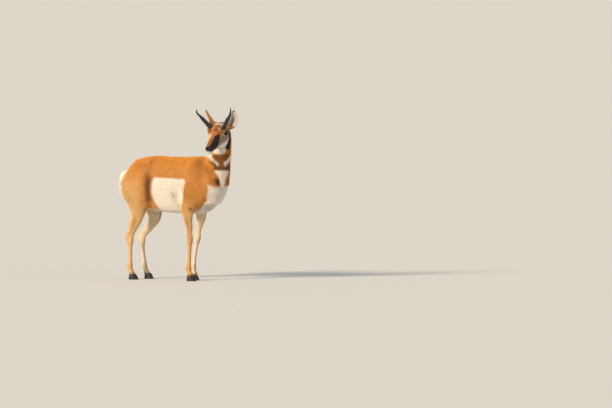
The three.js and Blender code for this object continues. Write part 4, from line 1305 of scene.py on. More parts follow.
@dataclass
class Skin:
    """The one skin of trunk, neck, head, tail and legs, with the coat's marks on it."""

    points: Array = field(init=False)
    faces: Array = field(init=False)
    normals: Array = field(init=False)
    place: Place = field(init=False)
    colours: Array = field(init=False)

    XS = rows((-440, -345, 6), (-345, -225, 5.2), (-225, 100, 7), (100, 205, 5.2), (205, 362, 6.4),
              (362, 512, 2.3), (512, 530, 6))
    YS = rows((-300, -286, 3), (-286, -66, 2.3), (-66, 0, 5.6), (0, 60, 6.4), (60, 110, 5.2), (110, 190, 6.4))
    ZS = rows((12, 330, 5.6), (330, 880, 6.6), (880, 898, 4.5), (898, 1128, 2.3), (1128, 1146, 4))

    # Lowest height of a slab, then the least and the greatest x and y that the body has in it
    WINDOWS = [
        (1140, (400, -100), (420, -80)), (893, (222, -300), (524, 120)), (850, (120, -300), (524, 190)),
        (600, (-440, -165), (500, 165)), (425, (-440, -165), (424, 165)), (-math.inf, (-360, -125), (240, 125)),
    ]

    @classmethod
    def window(cls, low: float, high: float) -> Span:
        """The part of the floor plan that a slab of the body stands in."""
        return next((least, most) for above, least, most in cls.WINDOWS if low > above)

    def build(self, fur: Material) -> Object:
        """Makes the skin and stands it for the nodes of flesh.

        Args:
            fur: the skin's material.

        Returns:
            The skin's object.
        """
        net = Grid(self.XS, self.YS, self.ZS).net(ANATOMY.skin, self.window)
        self.points, self.faces = main_part(*net)
        self.normals = unit(slope(ANATOMY.skin, self.points))
        self.place = Place.of(self.points)
        self.colours = Markings().colours(self.place)
        skin = mesh_of("skin", self.points, self.faces)
        set_attribute(skin, "Marks", "FLOAT_COLOR", np.c_[self.colours * 0.95, np.ones(len(self.points))])
        skin.data.materials.append(fur)
        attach(skin, "root")
        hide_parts(*FLESH)
        return skin


def towards(azimuth: float, elevation: float) -> Vector:
    """The way to a place that many degrees round the animal and above the floor."""
    a, e = math.radians(azimuth), math.radians(elevation)
    return Vector((math.sin(a) * math.cos(e), -math.cos(a) * math.cos(e), math.sin(e)))


@dataclass(frozen=True)
class Studio:
    """A plain pale floor, soft lights, and the camera at the photo's viewing angle."""

    azimuth: float = 29.0
    elevation: float = 2.5
    distance: float = 90.0
    lens: float = 748.8
    middle: tuple[float, float] = (0.9368, 0.5373)

    def build(self) -> None:
        """Adds the floor, world, lights and camera."""
        origin = np.array(ANATOMY.to_row(np.zeros(3)))
        floor = bpy.data.meshes.new("floor")
        half = 600
        floor.from_pydata([(-half, -half, 0), (half, -half, 0), (half, half, 0), (-half, half, 0)], [], [(0, 1, 2, 3)])
        ground = linked("floor", floor)
        ground.data.materials.append(Finish("floor_pale", (214, 210, 202), 0.9, spread=0.02).material())
        world = bpy.data.worlds.new("studio")
        world.use_nodes = True
        world.node_tree.nodes["Background"].inputs["Color"].default_value = (0.84, 0.87, 0.92, 1)
        world.node_tree.nodes["Background"].inputs["Strength"].default_value = 0.56
        bpy.context.scene.world = world
        self.sun("key", (-50, 27), 3.8, 12, (1.0, 0.89, 0.70))
        self.sun("fill", (52, 30), 0.45, 60, (0.86, 0.92, 1.0))
        a, e = math.radians(self.azimuth), math.radians(self.elevation)
        back = towards(self.azimuth, self.elevation)
        right = Vector((math.cos(a), math.sin(a), 0))
        up = Vector((-math.sin(a) * math.sin(e), math.cos(a) * math.sin(e), math.cos(e)))
        camera = bpy.data.cameras.new("camera")
        camera.sensor_width, camera.lens = 36, self.lens
        camera.clip_start, camera.clip_end = 0.1, 3000
        stand = linked("camera", camera)
        stand.location = Vector(origin) + right * self.middle[0] + up * self.middle[1] + back * self.distance
        stand.rotation_mode = "QUATERNION"
        stand.rotation_quaternion = back.to_track_quat("Z", "Y")
        bpy.context.scene.camera = stand
        bpy.context.scene.view_settings.view_transform = "Standard"

    def sun(self, name: str, place: tuple[float, float], strength: float, spread: float,
            colour: tuple[float, float, float]) -> None:
        """A soft light from far off.

        Args:
            name: the light's name.
            place: degrees to the camera's right of the camera, and degrees above the floor.
            strength: how bright it is.
            spread: how wide the light looks, in degrees.
            colour: the light's colour.
        """
        light = bpy.data.lights.new(name, "SUN")
        light.angle, light.energy, light.color = math.radians(spread), strength, colour
        lamp = linked(name, light)
        way = towards(self.azimuth + place[0], place[1])
        lamp.location = way * 5
        lamp.rotation_mode = "QUATERNION"
        lamp.rotation_quaternion = way.to_track_quat("Z", "Y")


class Tree:
    """A Geometry Nodes tree built in the script, with its own inputs set by their identifiers."""

    def __init__(self, name: str) -> None:
        """Starts a tree.

        Args:
            name: its name.
        """
        self.group = bpy.data.node_groups.new(name, "GeometryNodeTree")
        self.interface = self.group.interface
        self.interface.new_socket("Geometry", in_out="INPUT", socket_type="NodeSocketGeometry")
        self.interface.new_socket("Geometry", in_out="OUTPUT", socket_type="NodeSocketGeometry")
        self.start = self.group.nodes.new("NodeGroupInput")
        self.end = self.group.nodes.new("NodeGroupOutput")
        self.ids: dict[str, str] = {}

    def input(self, name: str, kind: str, value: Any = None) -> Socket:
        """Adds a named input.

        Args:
            name: its name.
            kind: its type of socket.
            value: its default.

        Returns:
            Its socket on the input node.
        """
        socket = self.interface.new_socket(name, in_out="INPUT", socket_type=kind)
        if value is not None:
            socket.default_value = value
        self.ids[name] = socket.identifier
        return self.start.outputs[name]

    def node(self, kind: str, inputs: dict | None = None, **settings: Any) -> Node:
        """Adds a node.

        Args:
            kind: its type.
            inputs: values or sockets.
            settings: its own settings.

        Returns:
            The node.
        """
        node = self.group.nodes.new(kind)
        for key, value in settings.items():
            setattr(node, key, value)
        for key, value in (inputs or {}).items():
            if isinstance(value, Socket):
                self.group.links.new(value, node.inputs[key])
            else:
                node.inputs[key].default_value = value
        return node

    def named(self, name: str, kind: str = "FLOAT") -> Socket:
        """The value of a mesh's own attribute."""
        return self.node("GeometryNodeInputNamedAttribute", {"Name": name}, data_type=kind).outputs["Attribute"]

    def math(self, operation: str, a: Any, b: Any) -> Socket:
        """One sum of two values."""
        return self.node("ShaderNodeMath", {0: a, 1: b}, operation=operation).outputs[0]

    def chance(self, low: Any, high: Any, seed: int, kind: str = "FLOAT") -> Socket:
        """A random value for each element, the same each run.

        Args:
            low, high: its limits.
            seed: its seed.
            kind: its type.

        Returns:
            The socket.
        """
        node = self.node("FunctionNodeRandomValue", data_type=kind)
        at = {"FLOAT": (2, 3), "FLOAT_VECTOR": (0, 1), "INT": (4, 5)}[kind]
        node.inputs[at[0]].default_value, node.inputs[at[1]].default_value = low, high
        node.inputs["Seed"].default_value = seed
        return next(s for s in node.outputs if s.enabled)

    def finish(self, geometry: Socket) -> None:
        """Joins the result to the tree's output."""
        self.group.links.new(geometry, self.end.inputs[0])


# A tuft: its root, middle and tip along X as a share of its length, Y of its width, Z its rise as a share of its length
TUFT_CORNERS = [
    (0, -0.5, -0.07), (0, 0.5, -0.07), (0, 0, -0.02),
    (0.42, -0.42, 0.035), (0.42, 0.42, 0.035), (0.42, 0, 0.085),
    (1, 0, 0.06),
]
TUFT_FACES = [
    (0, 1, 2), (0, 4, 1), (0, 3, 4), (1, 5, 2), (1, 4, 5), (2, 3, 0), (2, 5, 3),
    (3, 6, 4), (4, 6, 5), (5, 6, 3),
]
# Painted shade and light along a tuft, darkest at its root where the tufts shade each other and lightest at its tip,
# and where each corner lies on its patch of the unwrap
TUFT_PAINTED_SHADE = np.array([0.84, 0.84, 0.86, 0.97, 0.97, 1.0, 1.08])
TUFT_PATCH = np.array([(0, 0), (0, 1), (0, 0.5), (0.42, 0.08), (0.42, 0.92), (0.42, 0.5), (1, 0.5)])
TUFT_BENDS = [(0.0, 0.0), (0.3, 0.02), (-0.34, -0.015)]
PATCH = 0.003  # size of a tuft's patch on the unwrap
GAP = 0.56  # least distance of two tufts, as a share of the even one


def tuft_shapes(rise: float) -> list[Object]:
    """Three tufts of unit size that bend differently.

    Args:
        rise: how far the tip is lifted, as a share of the length, over that of flat hair.

    Returns:
        Their objects, which aren't in the scene.
    """
    out = []
    for i, (sideways, lift) in enumerate(TUFT_BENDS):
        corners = np.array(TUFT_CORNERS)
        corners[3:6, 1] += sideways * 0.3
        corners[6, 1] += sideways
        corners[3:6, 2] += 0.35 * (rise + lift)
        corners[6, 2] += rise + lift
        mesh = bpy.data.meshes.new(f"tuft_{i}")
        mesh.from_pydata([tuple(c) for c in corners], [], TUFT_FACES)
        mesh.update()
        out.append(bpy.data.objects.new(f"tuft_{i}", mesh))
    return out


def coat_tree() -> Tree:
    """Tufts spread over a mesh by its own attributes: lie, fur_length, fur_width and fur_count.

    Returns:
        The tree.
    """
    tree = Tree("coat")
    seed = tree.input("Seed", "NodeSocketInt", 1)
    most = tree.input("Most", "NodeSocketFloat", 1000.0)
    gap = tree.input("Gap", "NodeSocketFloat", 0.001)
    shapes = [tree.input(f"Tuft {i}", "NodeSocketObject") for i in range(3)]
    material = tree.input("Material", "NodeSocketMaterial")
    share = tree.math("DIVIDE", tree.named("fur_count"), most)
    spread = tree.node(
        "GeometryNodeDistributePointsOnFaces",
        {"Mesh": tree.start.outputs[0], "Distance Min": gap, "Density Max": most,
         "Density Factor": share, "Seed": seed},
        distribute_method="POISSON",
    )
    facing = tree.node(
        "FunctionNodeAxesToRotation",
        {"Primary Axis": spread.outputs["Normal"], "Secondary Axis": tree.named("lie", "FLOAT_VECTOR")},
        primary_axis="Z", secondary_axis="X",
    )
    swing = tree.chance((0, -0.05, -0.3), (0, 0.05, 0.3), 11, "FLOAT_VECTOR")
    swung = tree.node("FunctionNodeEulerToRotation", {0: swing})
    turned = tree.node("FunctionNodeRotateRotation", {0: facing.outputs[0], 1: swung.outputs[0]},
                       rotation_space="LOCAL")
    long = tree.math("MULTIPLY", tree.named("fur_length"), tree.chance(0.75, 1.25, 12))
    wide = tree.math("MULTIPLY", tree.named("fur_width"), tree.chance(0.75, 1.3, 13))
    size = tree.node("ShaderNodeCombineXYZ", {0: long, 1: wide, 2: long})
    kinds = [tree.node("GeometryNodeObjectInfo", {"Object": s, "As Instance": True}).outputs["Geometry"]
             for s in shapes]
    joined = tree.node("GeometryNodeJoinGeometry")
    for kind in kinds:
        tree.group.links.new(kind, joined.inputs[0])
    placed = tree.node(
        "GeometryNodeInstanceOnPoints",
        {"Points": spread.outputs["Points"], "Instance": joined.outputs[0], "Pick Instance": True,
         "Instance Index": tree.chance(0, 2, 14, "INT"), "Rotation": turned.outputs[0],
         "Scale": size.outputs[0]},
    )
    kept = tree.node(
        "GeometryNodeStoreNamedAttribute",
        {"Geometry": placed.outputs[0], "Name": "root", "Value": tree.node("GeometryNodeInputPosition").outputs[0]},
        data_type="FLOAT_VECTOR", domain="INSTANCE",
    )
    real = tree.node("GeometryNodeRealizeInstances", {"Geometry": kept.outputs[0]})
    dressed = tree.node("GeometryNodeSetMaterial", {"Geometry": real.outputs[0], "Material": material})
    tree.finish(dressed.outputs[0])
    return tree


@dataclass
class Ground:
    """A mesh that hair grows on, with what the coat's tree reads, in the body frame and millimetres."""

    points: Array
    faces: Array
    lie: Array
    length: Array
    width: Array
    count: Array

    def part(self, keep: Array) -> "Ground":
        """Part of the ground.

        Args:
            keep: whether each face stays.

        Returns:
            Those faces with their points.
        """
        faces = self.faces[keep]
        used, place = np.unique(faces, return_inverse=True)
        return Ground(self.points[used], place.reshape(faces.shape), self.lie[used],
                      self.length[used], self.width[used], self.count[used])

    def area(self) -> Array:
        """Each face's area in square centimetres."""
        p = self.points[self.faces]
        return np.linalg.norm(np.cross(p[:, 2] - p[:, 0], p[:, 3] - p[:, 1]), axis=1) / 200


@dataclass
class Coat:
    """Grows pieces of coat: tufts over a ground, coloured and unwrapped by their roots."""

    tree: Tree
    finish: Material
    pieces: list[Object] = field(default_factory=list)

    def build(self, name: str, ground: Ground, colour: Look, unwrap: Look, rise: float = 0.0,
              seed: int = 1, slot: str = "coat_tan") -> Object:
        """Grows one piece.

        Args:
            name: its name.
            ground: what the tufts grow on.
            colour: colours for places in the body frame.
            unwrap: places on the unwrap for roots.
            rise: how far tips lift, as a share of their length.
            seed: its chance.
            slot: not used.

        Returns:
            The object.
        """
        base = mesh_of(name, ground.points, ground.faces)
        set_attribute(base, "lie", "FLOAT_VECTOR", ground.lie)
        set_attribute(base, "fur_length", "FLOAT", ground.length / 1000)
        set_attribute(base, "fur_width", "FLOAT", ground.width / 1000)
        set_attribute(base, "fur_count", "FLOAT", ground.count * 1e4)
        most = float(ground.count.max() * 1e4)
        modifier = base.modifiers.new("coat", "NODES")
        modifier.node_group = self.tree.group
        values = {"Seed": seed, "Most": most, "Gap": GAP / math.sqrt(most), "Material": self.finish}
        values |= {f"Tuft {i}": shape for i, shape in enumerate(tuft_shapes(rise))}
        for key, value in values.items():
            modifier[self.tree.ids[key]] = value
        plan = bpy.context.evaluated_depsgraph_get()
        mesh = bpy.data.meshes.new_from_object(base.evaluated_get(plan))
        bpy.data.objects.remove(base)
        piece = linked(name, mesh)
        self.mark(mesh, colour, unwrap, seed)
        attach(piece, "root")
        self.pieces.append(piece)
        return piece

    @staticmethod
    def mark(mesh: bpy.types.Mesh, colour: Look, unwrap: Look, seed: int) -> None:
        """Gives a coat's mesh its colours and its unwrap, one small patch for each tuft.

        Args:
            mesh: the coat's mesh.
            colour: colours for places in the body frame.
            unwrap: places on the unwrap for roots.
            seed: its chance.
        """
        each = len(TUFT_CORNERS)
        root, spot = (np.empty(len(mesh.vertices) * 3, np.float32) for _ in range(2))
        mesh.attributes["root"].data.foreach_get("vector", root)
        mesh.vertices.foreach_get("co", spot)
        root, spot = (ANATOMY.from_row(v.reshape(-1, each, 3).astype(float)) for v in (root, spot))
        root, tip = root[:, 0], spot[:, 6]
        chance = np.random.default_rng(seed)
        tone = chance.normal(1, 0.075, (len(root), 1, 1)).clip(0.8, 1.2)
        warm = 1 + chance.normal(0, 0.025, (len(root), 1, 1)) * np.array([1, 0, -1.5])
        # Each tuft is darker at its root and lighter at its tip: painted shade and painted light
        light = colour(root * 0.55 + tip * 0.45)[:, None] * TUFT_PAINTED_SHADE[None, :, None] * tone * warm
        marks = np.concatenate([light, np.ones((*light.shape[:2], 1))], -1).clip(0, 1)
        layer = mesh.attributes.new("Marks", "FLOAT_COLOR", "POINT")
        layer.data.foreach_set("color", marks.astype(np.float32).ravel())
        spot = unwrap(root)[:, None] + (TUFT_PATCH[None] - 0.5) * PATCH
        at = np.empty(len(mesh.loops), np.int32)
        mesh.loops.foreach_get("vertex_index", at)
        bake = mesh.uv_layers.new(name="OFBake")
        bake.data.foreach_set("uv", spot.reshape(-1, 2)[at].astype(np.float32).ravel())
        for word in ("root", "lie", "fur_length", "fur_width", "fur_count", "id"):
            if word in mesh.attributes:
                mesh.attributes.remove(mesh.attributes[word])


def sheet(angle: Array, along: Array) -> Array:
    """Places on an unwrap, from the angle round a line and the share along it."""
    return np.c_[0.5 + angle / (2 * math.pi) * 0.96, 0.02 + along * 0.96]


def unwrap_trunk(p: Array) -> Array:
    """Round the trunk's middle line, and along it."""
    top, belly, _ = ANATOMY.trunk_at(p[:, 0])
    return sheet(np.arctan2(p[:, 1], p[:, 2] - (top + belly) / 2), (p[:, 0] + 440) / 900)


def unwrap_neck(p: Array) -> Array:
    """Round the neck from the throat's line, and up it.

    Args:
        p: places in the body frame.

    Returns:
        Places on the unwrap, from 0 to 1.
    """
    x, y = ANATOMY.neck_at(p[:, 2])[:2]
    throat = np.radians(np.interp(p[:, 2], THROAT_Z, THROAT_DEGREES))
    angle = (np.arctan2(p[:, 1] - y, p[:, 0] - x) - throat + math.pi) % (2 * math.pi) - math.pi
    return sheet(angle, (p[:, 2] - 540) / 620)


def unwrap_head(p: Array) -> Array:
    """Round the line from the nape to the nose, and along it.

    Args:
        p: places in the body frame.

    Returns:
        Places on the unwrap, from 0 to 1.
    """
    q = ANATOMY.to_head(p)
    _, top, low = ANATOMY.head_at(q[:, 0])
    return sheet(np.arctan2(q[:, 1], q[:, 2] - (top + low) / 2), (q[:, 0] + 150) / 350)


def unwrap_legs(p: Array) -> Array:
    """Each leg's own column: round its line, and up it.

    Args:
        p: places in the body frame.

    Returns:
        Places on the unwrap, from 0 to 1.
    """
    out = np.full((len(p), 2), 0.5)
    best = np.full(len(p), np.inf)
    for i, (_, side, shape, line) in enumerate(ANATOMY.legs):
        x, y = line(p[:, 2])
        a, b = p[:, 0] - x - shape(p[:, 2])[2], p[:, 1] - side * y
        near = np.hypot(a, b)
        angle = np.arctan2(b * side, a)
        own = np.c_[(i + 0.5 + angle / (2 * math.pi) * 0.9) / 4, 0.02 + p[:, 2] / 720 * 0.96]
        out = np.where((near < best)[:, None], own, out)
        best = np.minimum(best, near)
    return out


@dataclass
class Dress:
    """The whole coat of the skin, piece by piece."""

    skin: Skin
    coat: Coat
    TRUNK = ("rump", "loin", "barrel", "shoulder", "chest")

    def colours(self, root: Array) -> Array:
        """The coat's colours at roots in the body frame."""
        return Markings().colours(Place.of(root))

    def build(self) -> list[Object]:
        """Grows every piece of it.

        Returns:
            The pieces.
        """
        skin = self.skin
        length, width, count = Growth.tufts(skin.place)
        ground = Ground(skin.points, skin.faces, Growth.lie(skin.place, skin.normals), length, width, count)
        middle = skin.points[skin.faces].mean(1)
        at = Place.of(middle)
        number = count[skin.faces].mean(1) * ground.area()
        head, neck = at.head > 0.5, (at.head <= 0.5) & (at.neck > 0.5)
        legs = ~head & ~neck & (middle[:, 2] < 470)
        trunk = ~head & ~neck & ~legs
        order = np.argsort(np.where(trunk, middle[:, 0], np.inf))
        share = np.empty(len(order))
        share[order] = np.cumsum(np.where(trunk, number, 0)[order])
        share = np.minimum(share / share.max() * len(self.TRUNK), len(self.TRUNK) - 1e-6)
        jobs = [(f"coat_{word}", trunk & (share.astype(int) == i), unwrap_trunk, 0.04)
                for i, word in enumerate(self.TRUNK)]
        jobs += [
            ("coat_neck", neck, unwrap_neck, 0.05),
            ("coat_forelegs", legs & (middle[:, 0] > 0), unwrap_legs, 0.0),
            ("coat_hindlegs", legs & (middle[:, 0] <= 0), unwrap_legs, 0.0),
            ("coat_face", head, unwrap_head, 0.0),
        ]
        for seed, (name, keep, unwrap, rise) in enumerate(jobs, 1):
            self.coat.build(name, ground.part(keep), self.colours, unwrap, rise, seed)
        self.mane(ground, middle, at)
        return self.coat.pieces

    def mane(self, ground: Ground, middle: Array, at: Place) -> None:
        """Longer, darker hair down the nape.

        Args:
            ground: the skin.
            middle: each face's middle.
            at: what is known of those middles.
        """
        nape = (np.abs(at.theta) > 146) & (at.neck > 0.5) & (middle[:, 2] > 880)
        part = ground.part(nape)
        part.length = 30 + 14 * ramp(part.points[:, 2], 880, 960)
        part.width = np.full(len(part.points), 2.0)
        part.count = np.full(len(part.points), 15.0)

        def dark(root: Array) -> Array:
            """The coat's colours, mixed with brown."""
            shade = 0.55 + 0.25 * ripple(root, 22)[:, None].clip(-1, 1)
            return self.colours(root) * (1 - shade) + Fur.BROWN.light * shade

        self.coat.build("mane", part, dark, unwrap_neck, 0.07, 21)


class Curve:
    """A centripetal Catmull-Rom curve through points, measured by its length."""

    def __init__(self, stops: Any) -> None:
        """Draws the curve.

        Args:
            stops: the points that it runs through.
        """
        p = np.array(stops, float)
        p = np.vstack([2 * p[0] - p[1], p, 2 * p[-1] - p[-2]])
        gaps = np.sqrt(np.linalg.norm(np.diff(p, axis=0), axis=1))
        out = []
        for i in range(1, len(p) - 2):
            g0, g1, g2 = gaps[i - 1:i + 2]
            before, here, after = (p[i] - p[i - 1]) / g0, (p[i + 1] - p[i]) / g1, (p[i + 2] - p[i + 1]) / g2
            m1 = (before - (p[i + 1] - p[i - 1]) / (g0 + g1) + here) * g1
            m2 = (here - (p[i + 2] - p[i]) / (g1 + g2) + after) * g1
            t = np.linspace(0, 1, 60, endpoint=i == len(p) - 3)[:, None]
            out.append(p[i] * (2 * t**3 - 3 * t**2 + 1) + m1 * (t**3 - 2 * t**2 + t)
                       + p[i + 1] * (3 * t**2 - 2 * t**3) + m2 * (t**3 - t**2))
        self.path = np.vstack(out)
        steps = np.linalg.norm(np.diff(self.path, axis=0), axis=1)
        self.length = steps.sum()
        self.along = np.append(0, np.cumsum(steps)) / self.length

    def at(self, t: Array) -> Array:
        """Places along it, from 0 to 1."""
        return np.stack([np.interp(t, self.along, self.path[:, i]) for i in range(3)], -1)

    def way(self, t: Array) -> Array:
        """The way that it runs there, as unit rows."""
        d = self.at(np.minimum(t + 0.01, 1)) - self.at(np.maximum(t - 0.01, 0))
        return d / np.linalg.norm(d, axis=1)[:, None]


def across(way: Array, face: Array) -> tuple[Array, Array]:
    """Two directions square to each way and to each other.

    Args:
        way: unit rows.
        face: what the first lies as near to as it can.

    Returns:
        The two, as rows.
    """
    first = face - way * (way @ face)[:, None]
    first /= np.linalg.norm(first, axis=1)[:, None]
    return first, np.cross(way, first)


def lofted(rings: Array) -> tuple[Array, Array]:
    """A closed skin of triangles over rings of points, with a fan at each end.

    Args:
        rings: the rings, one after another.

    Returns:
        Its points and faces.
    """
    count, sides = rings.shape[:2]
    i = np.arange(sides)
    after = (i + 1) % sides
    walls = [np.stack([r * sides + i, r * sides + after, (r + 1) * sides + after, (r + 1) * sides + i], -1)
             for r in range(count - 1)]
    points = np.vstack([rings.reshape(-1, 3), rings[0].mean(0), rings[-1].mean(0)])
    foot, top, last = count * sides, count * sides + 1, (count - 1) * sides
    quads = np.vstack(walls)
    tris = np.vstack([
        np.stack([quads[:, 0], quads[:, 1], quads[:, 2]], -1), np.stack([quads[:, 0], quads[:, 2], quads[:, 3]], -1),
        np.stack([np.full(sides, foot), after, i], -1),
        np.stack([np.full(sides, top), last + i, last + after], -1),
    ])
    return points, tris


def outward(points: Array, faces: Array) -> Array:
    """The faces, turned the other way if the solid that they close is inside out."""
    a, b, c = (points[faces[:, i]] for i in range(3))
    return faces if np.einsum("ij,ij->", a, np.cross(b, c)) > 0 else faces[:, ::-1]


UPRIGHT = (turn("X", -HEAD_ROLL) @ turn("Y", HEAD_PITCH)).T


def head_course(side: int, root: tuple[float, ...], steps: list[tuple[float, ...]]) -> Curve:
    """A course in the head's frame.

    Args:
        side: 1 for the animal's left, -1 for its right.
        root: where it starts.
        steps: ahead, out and up from there, in the world.

    Returns:
        The curve.
    """
    s, l, t = root
    moved = np.array([(ahead, side * out, up) for ahead, out, up in steps], float)
    return Curve(moved @ UPRIGHT.T + [s, side * l, t])


@dataclass
class Eye:
    """An eyeball, its lids' rims and its lashes. The head's frame places it."""

    word: str
    side: int

    def axes(self) -> Array:
        """Rows u, v, w of the eye's own frame, in the head's frame."""
        return EYE_AXES * [1, self.side, 1]

    def to_body(self, uvw: Array) -> Array:
        """The eye's own frame to the body frame."""
        return ANATOMY.from_head(uvw @ self.axes() + [0, self.side * EYE_SIDE, 0])

    def build(self, gloss: Material, skin: Material) -> list[Object]:
        """Makes the ball, the two rims and the lashes.

        Args:
            gloss: the ball's material.
            skin: the rims' and lashes' material.

        Returns:
            The pieces.
        """
        ball = self.ball(gloss)
        rim, lashes = self.rims(), self.lashes()
        out = [ball]
        for name, (points, faces) in (("eyelids", rim), ("eyelashes", lashes)):
            piece = mesh_of(f"{name}_{self.word}", points, faces)
            piece.data.materials.append(skin)
            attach(piece, "root")
            out.append(piece)
        return out

    def ball(self, gloss: Material) -> Object:
        """Makes the ball, with its iris and pupil.

        Args:
            gloss: its material.

        Returns:
            The object.
        """
        turns, levels = 56, 40
        a = np.linspace(0, 2 * math.pi, turns, endpoint=False)
        h = np.linspace(0, math.pi, levels + 2)[1:-1]
        w, r = np.cos(h), np.sin(h)
        rings = np.stack([np.outer(r, np.cos(a)), np.outer(r, np.sin(a)), np.outer(w, np.ones(turns))], -1)
        rings *= EYE_RADIUS * BALL_SHARE
        local, faces = lofted(rings)
        points = self.to_body(local)
        ball = mesh_of(f"eyeball_{self.word}", points, outward(points, faces))
        u, v, w = (local / EYE_RADIUS).T
        iris = ramp(np.hypot(u, v), 0.62, 0.5) * (w > 0)
        pupil = ramp(np.hypot(u / 1.45, v), 0.26, 0.2) * (w > 0)
        light = srgb(22, 14, 11) * (1 - iris[:, None]) + srgb(31, 18, 12) * iris[:, None]
        light = light * (1 - pupil[:, None]) + srgb(5, 5, 8) * pupil[:, None]
        set_attribute(ball, "Marks", "FLOAT_COLOR", np.c_[light, np.ones(len(light))])
        ball.data.materials.append(gloss)
        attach(ball, "root")
        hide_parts(f"eye_{self.word}")
        return ball

    @staticmethod
    def opening(share: Array, grow: float) -> Array:
        """Points round the almond between the lids, from its front corner over the top.

        Args:
            share: how far round, from 0 to 1.
            grow: how much wider it is.

        Returns:
            Rows of u and v.
        """
        a = share * 2 * math.pi
        reach = LID_REACH + grow
        u = np.cos(a)
        half = math.sqrt(reach**2 - LID_OFFSET**2)
        u = u * half
        v = np.sign(np.sin(a)) * (np.sqrt(np.maximum(reach**2 - u**2, 0)) - LID_OFFSET).clip(0)
        return np.stack([u, v], -1)

    def rims(self) -> tuple[Array, Array]:
        """A rounded band of bare dark skin round the opening, thicker over the top.

        Returns:
            Its points and faces.
        """
        count, sides = 72, 10
        share = np.arange(count) / count
        flat = self.opening(share, 0.2)
        out = EYE_RADIUS + 0.7
        rings = []
        for i, (u, v) in enumerate(flat):
            w = math.sqrt(max(out**2 - u * u - v * v, 0))
            centre = np.array([u, v, w])
            radial = centre / out
            before, after = flat[i - 1], flat[(i + 1) % count]
            way = np.append(after - before, 0)
            way -= radial * (way @ radial)
            way /= np.linalg.norm(way)
            beside = np.cross(radial, way)
            thick = 0.95 + 0.35 * max(v / 13, 0)
            a = np.linspace(0, 2 * math.pi, sides, endpoint=False)[:, None]
            rings.append(centre + radial * np.cos(a) * thick * 0.8 + beside * np.sin(a) * thick)
        rings = np.array(rings)
        i = np.arange(count * sides).reshape(count, sides)
        ahead = np.roll(i, -1, 0)
        quads = np.stack([i, np.roll(i, -1, 1), np.roll(ahead, -1, 1), ahead], -1).reshape(-1, 4)
        tris = np.vstack([quads[:, [0, 1, 2]], quads[:, [0, 2, 3]]])
        points = self.to_body(rings.reshape(-1, 3))
        return points, outward(points, tris)

    def lashes(self) -> tuple[Array, Array]:
        """Flat curved lashes along the upper lid.

        Returns:
            Their points and faces.
        """
        points, faces, start = [], [], 0
        chance = np.random.default_rng(5 if self.side > 0 else 6)
        for share in np.linspace(0.07, 0.43, 22):
            (u, v), = self.opening(np.array([share]), 0.6)
            w = math.sqrt(max((EYE_RADIUS + 1) ** 2 - u * u - v * v, 0))
            foot = np.array([u, v, w])
            out = np.array([u * 0.045, 0.55, 1.0]) + chance.normal(0, 0.06, 3)
            out /= np.linalg.norm(out)
            reach = 9.5 * (0.75 + 0.25 * math.sin(share * 2 * math.pi)) * chance.uniform(0.85, 1.15)
            stops = [foot - out, foot + out * reach * 0.45 - [0, 0.5, 0], foot + out * reach + [0, 1.6, 0]]
            t = np.linspace(0, 1, 5)
            curve = Curve(stops)
            first, second = across(curve.way(t), np.array([1.0, 0, 0]))
            half = 0.42 * (1 - 0.85 * t)
            a = np.linspace(0, 2 * math.pi, 4, endpoint=False)
            rings = (curve.at(t)[:, None] + first[:, None] * (np.cos(a)[None, :] * half[:, None])[..., None]
                     + second[:, None] * (np.sin(a)[None, :] * half[:, None])[..., None])
            p, f = lofted(rings)
            p = self.to_body(p)
            points.append(p)
            faces.append(outward(p, f) + start)
            start += len(p)
        return np.vstack(points), np.vstack(faces)


HORN_ROOT = (-3, 51, 30)
PRONG_RADII = (9.5, 2.2)  # at its foot and its tip
HORN_STEPS = {
    "left": [(0, 0, 0), (18, 23, 31), (38, 49, 67), (60, 77, 100), (72, 89, 127), (73, 88, 154)],
    "right": [(0, 0, 0), (18, 24, 32), (38, 48, 66), (60, 68, 93), (71, 75, 111), (71, 70, 129)],
}
# Along the horn: half size fore and aft, and across
HORN_SECTIONS = [
    (0, 21.5, 15.5), (0.2, 19.5, 14), (0.44, 18.5, 12.5), (0.54, 13.5, 10), (0.72, 8.2, 7.6),
    (0.92, 4.8, 4.4), (1, 1.4, 1.4),
]


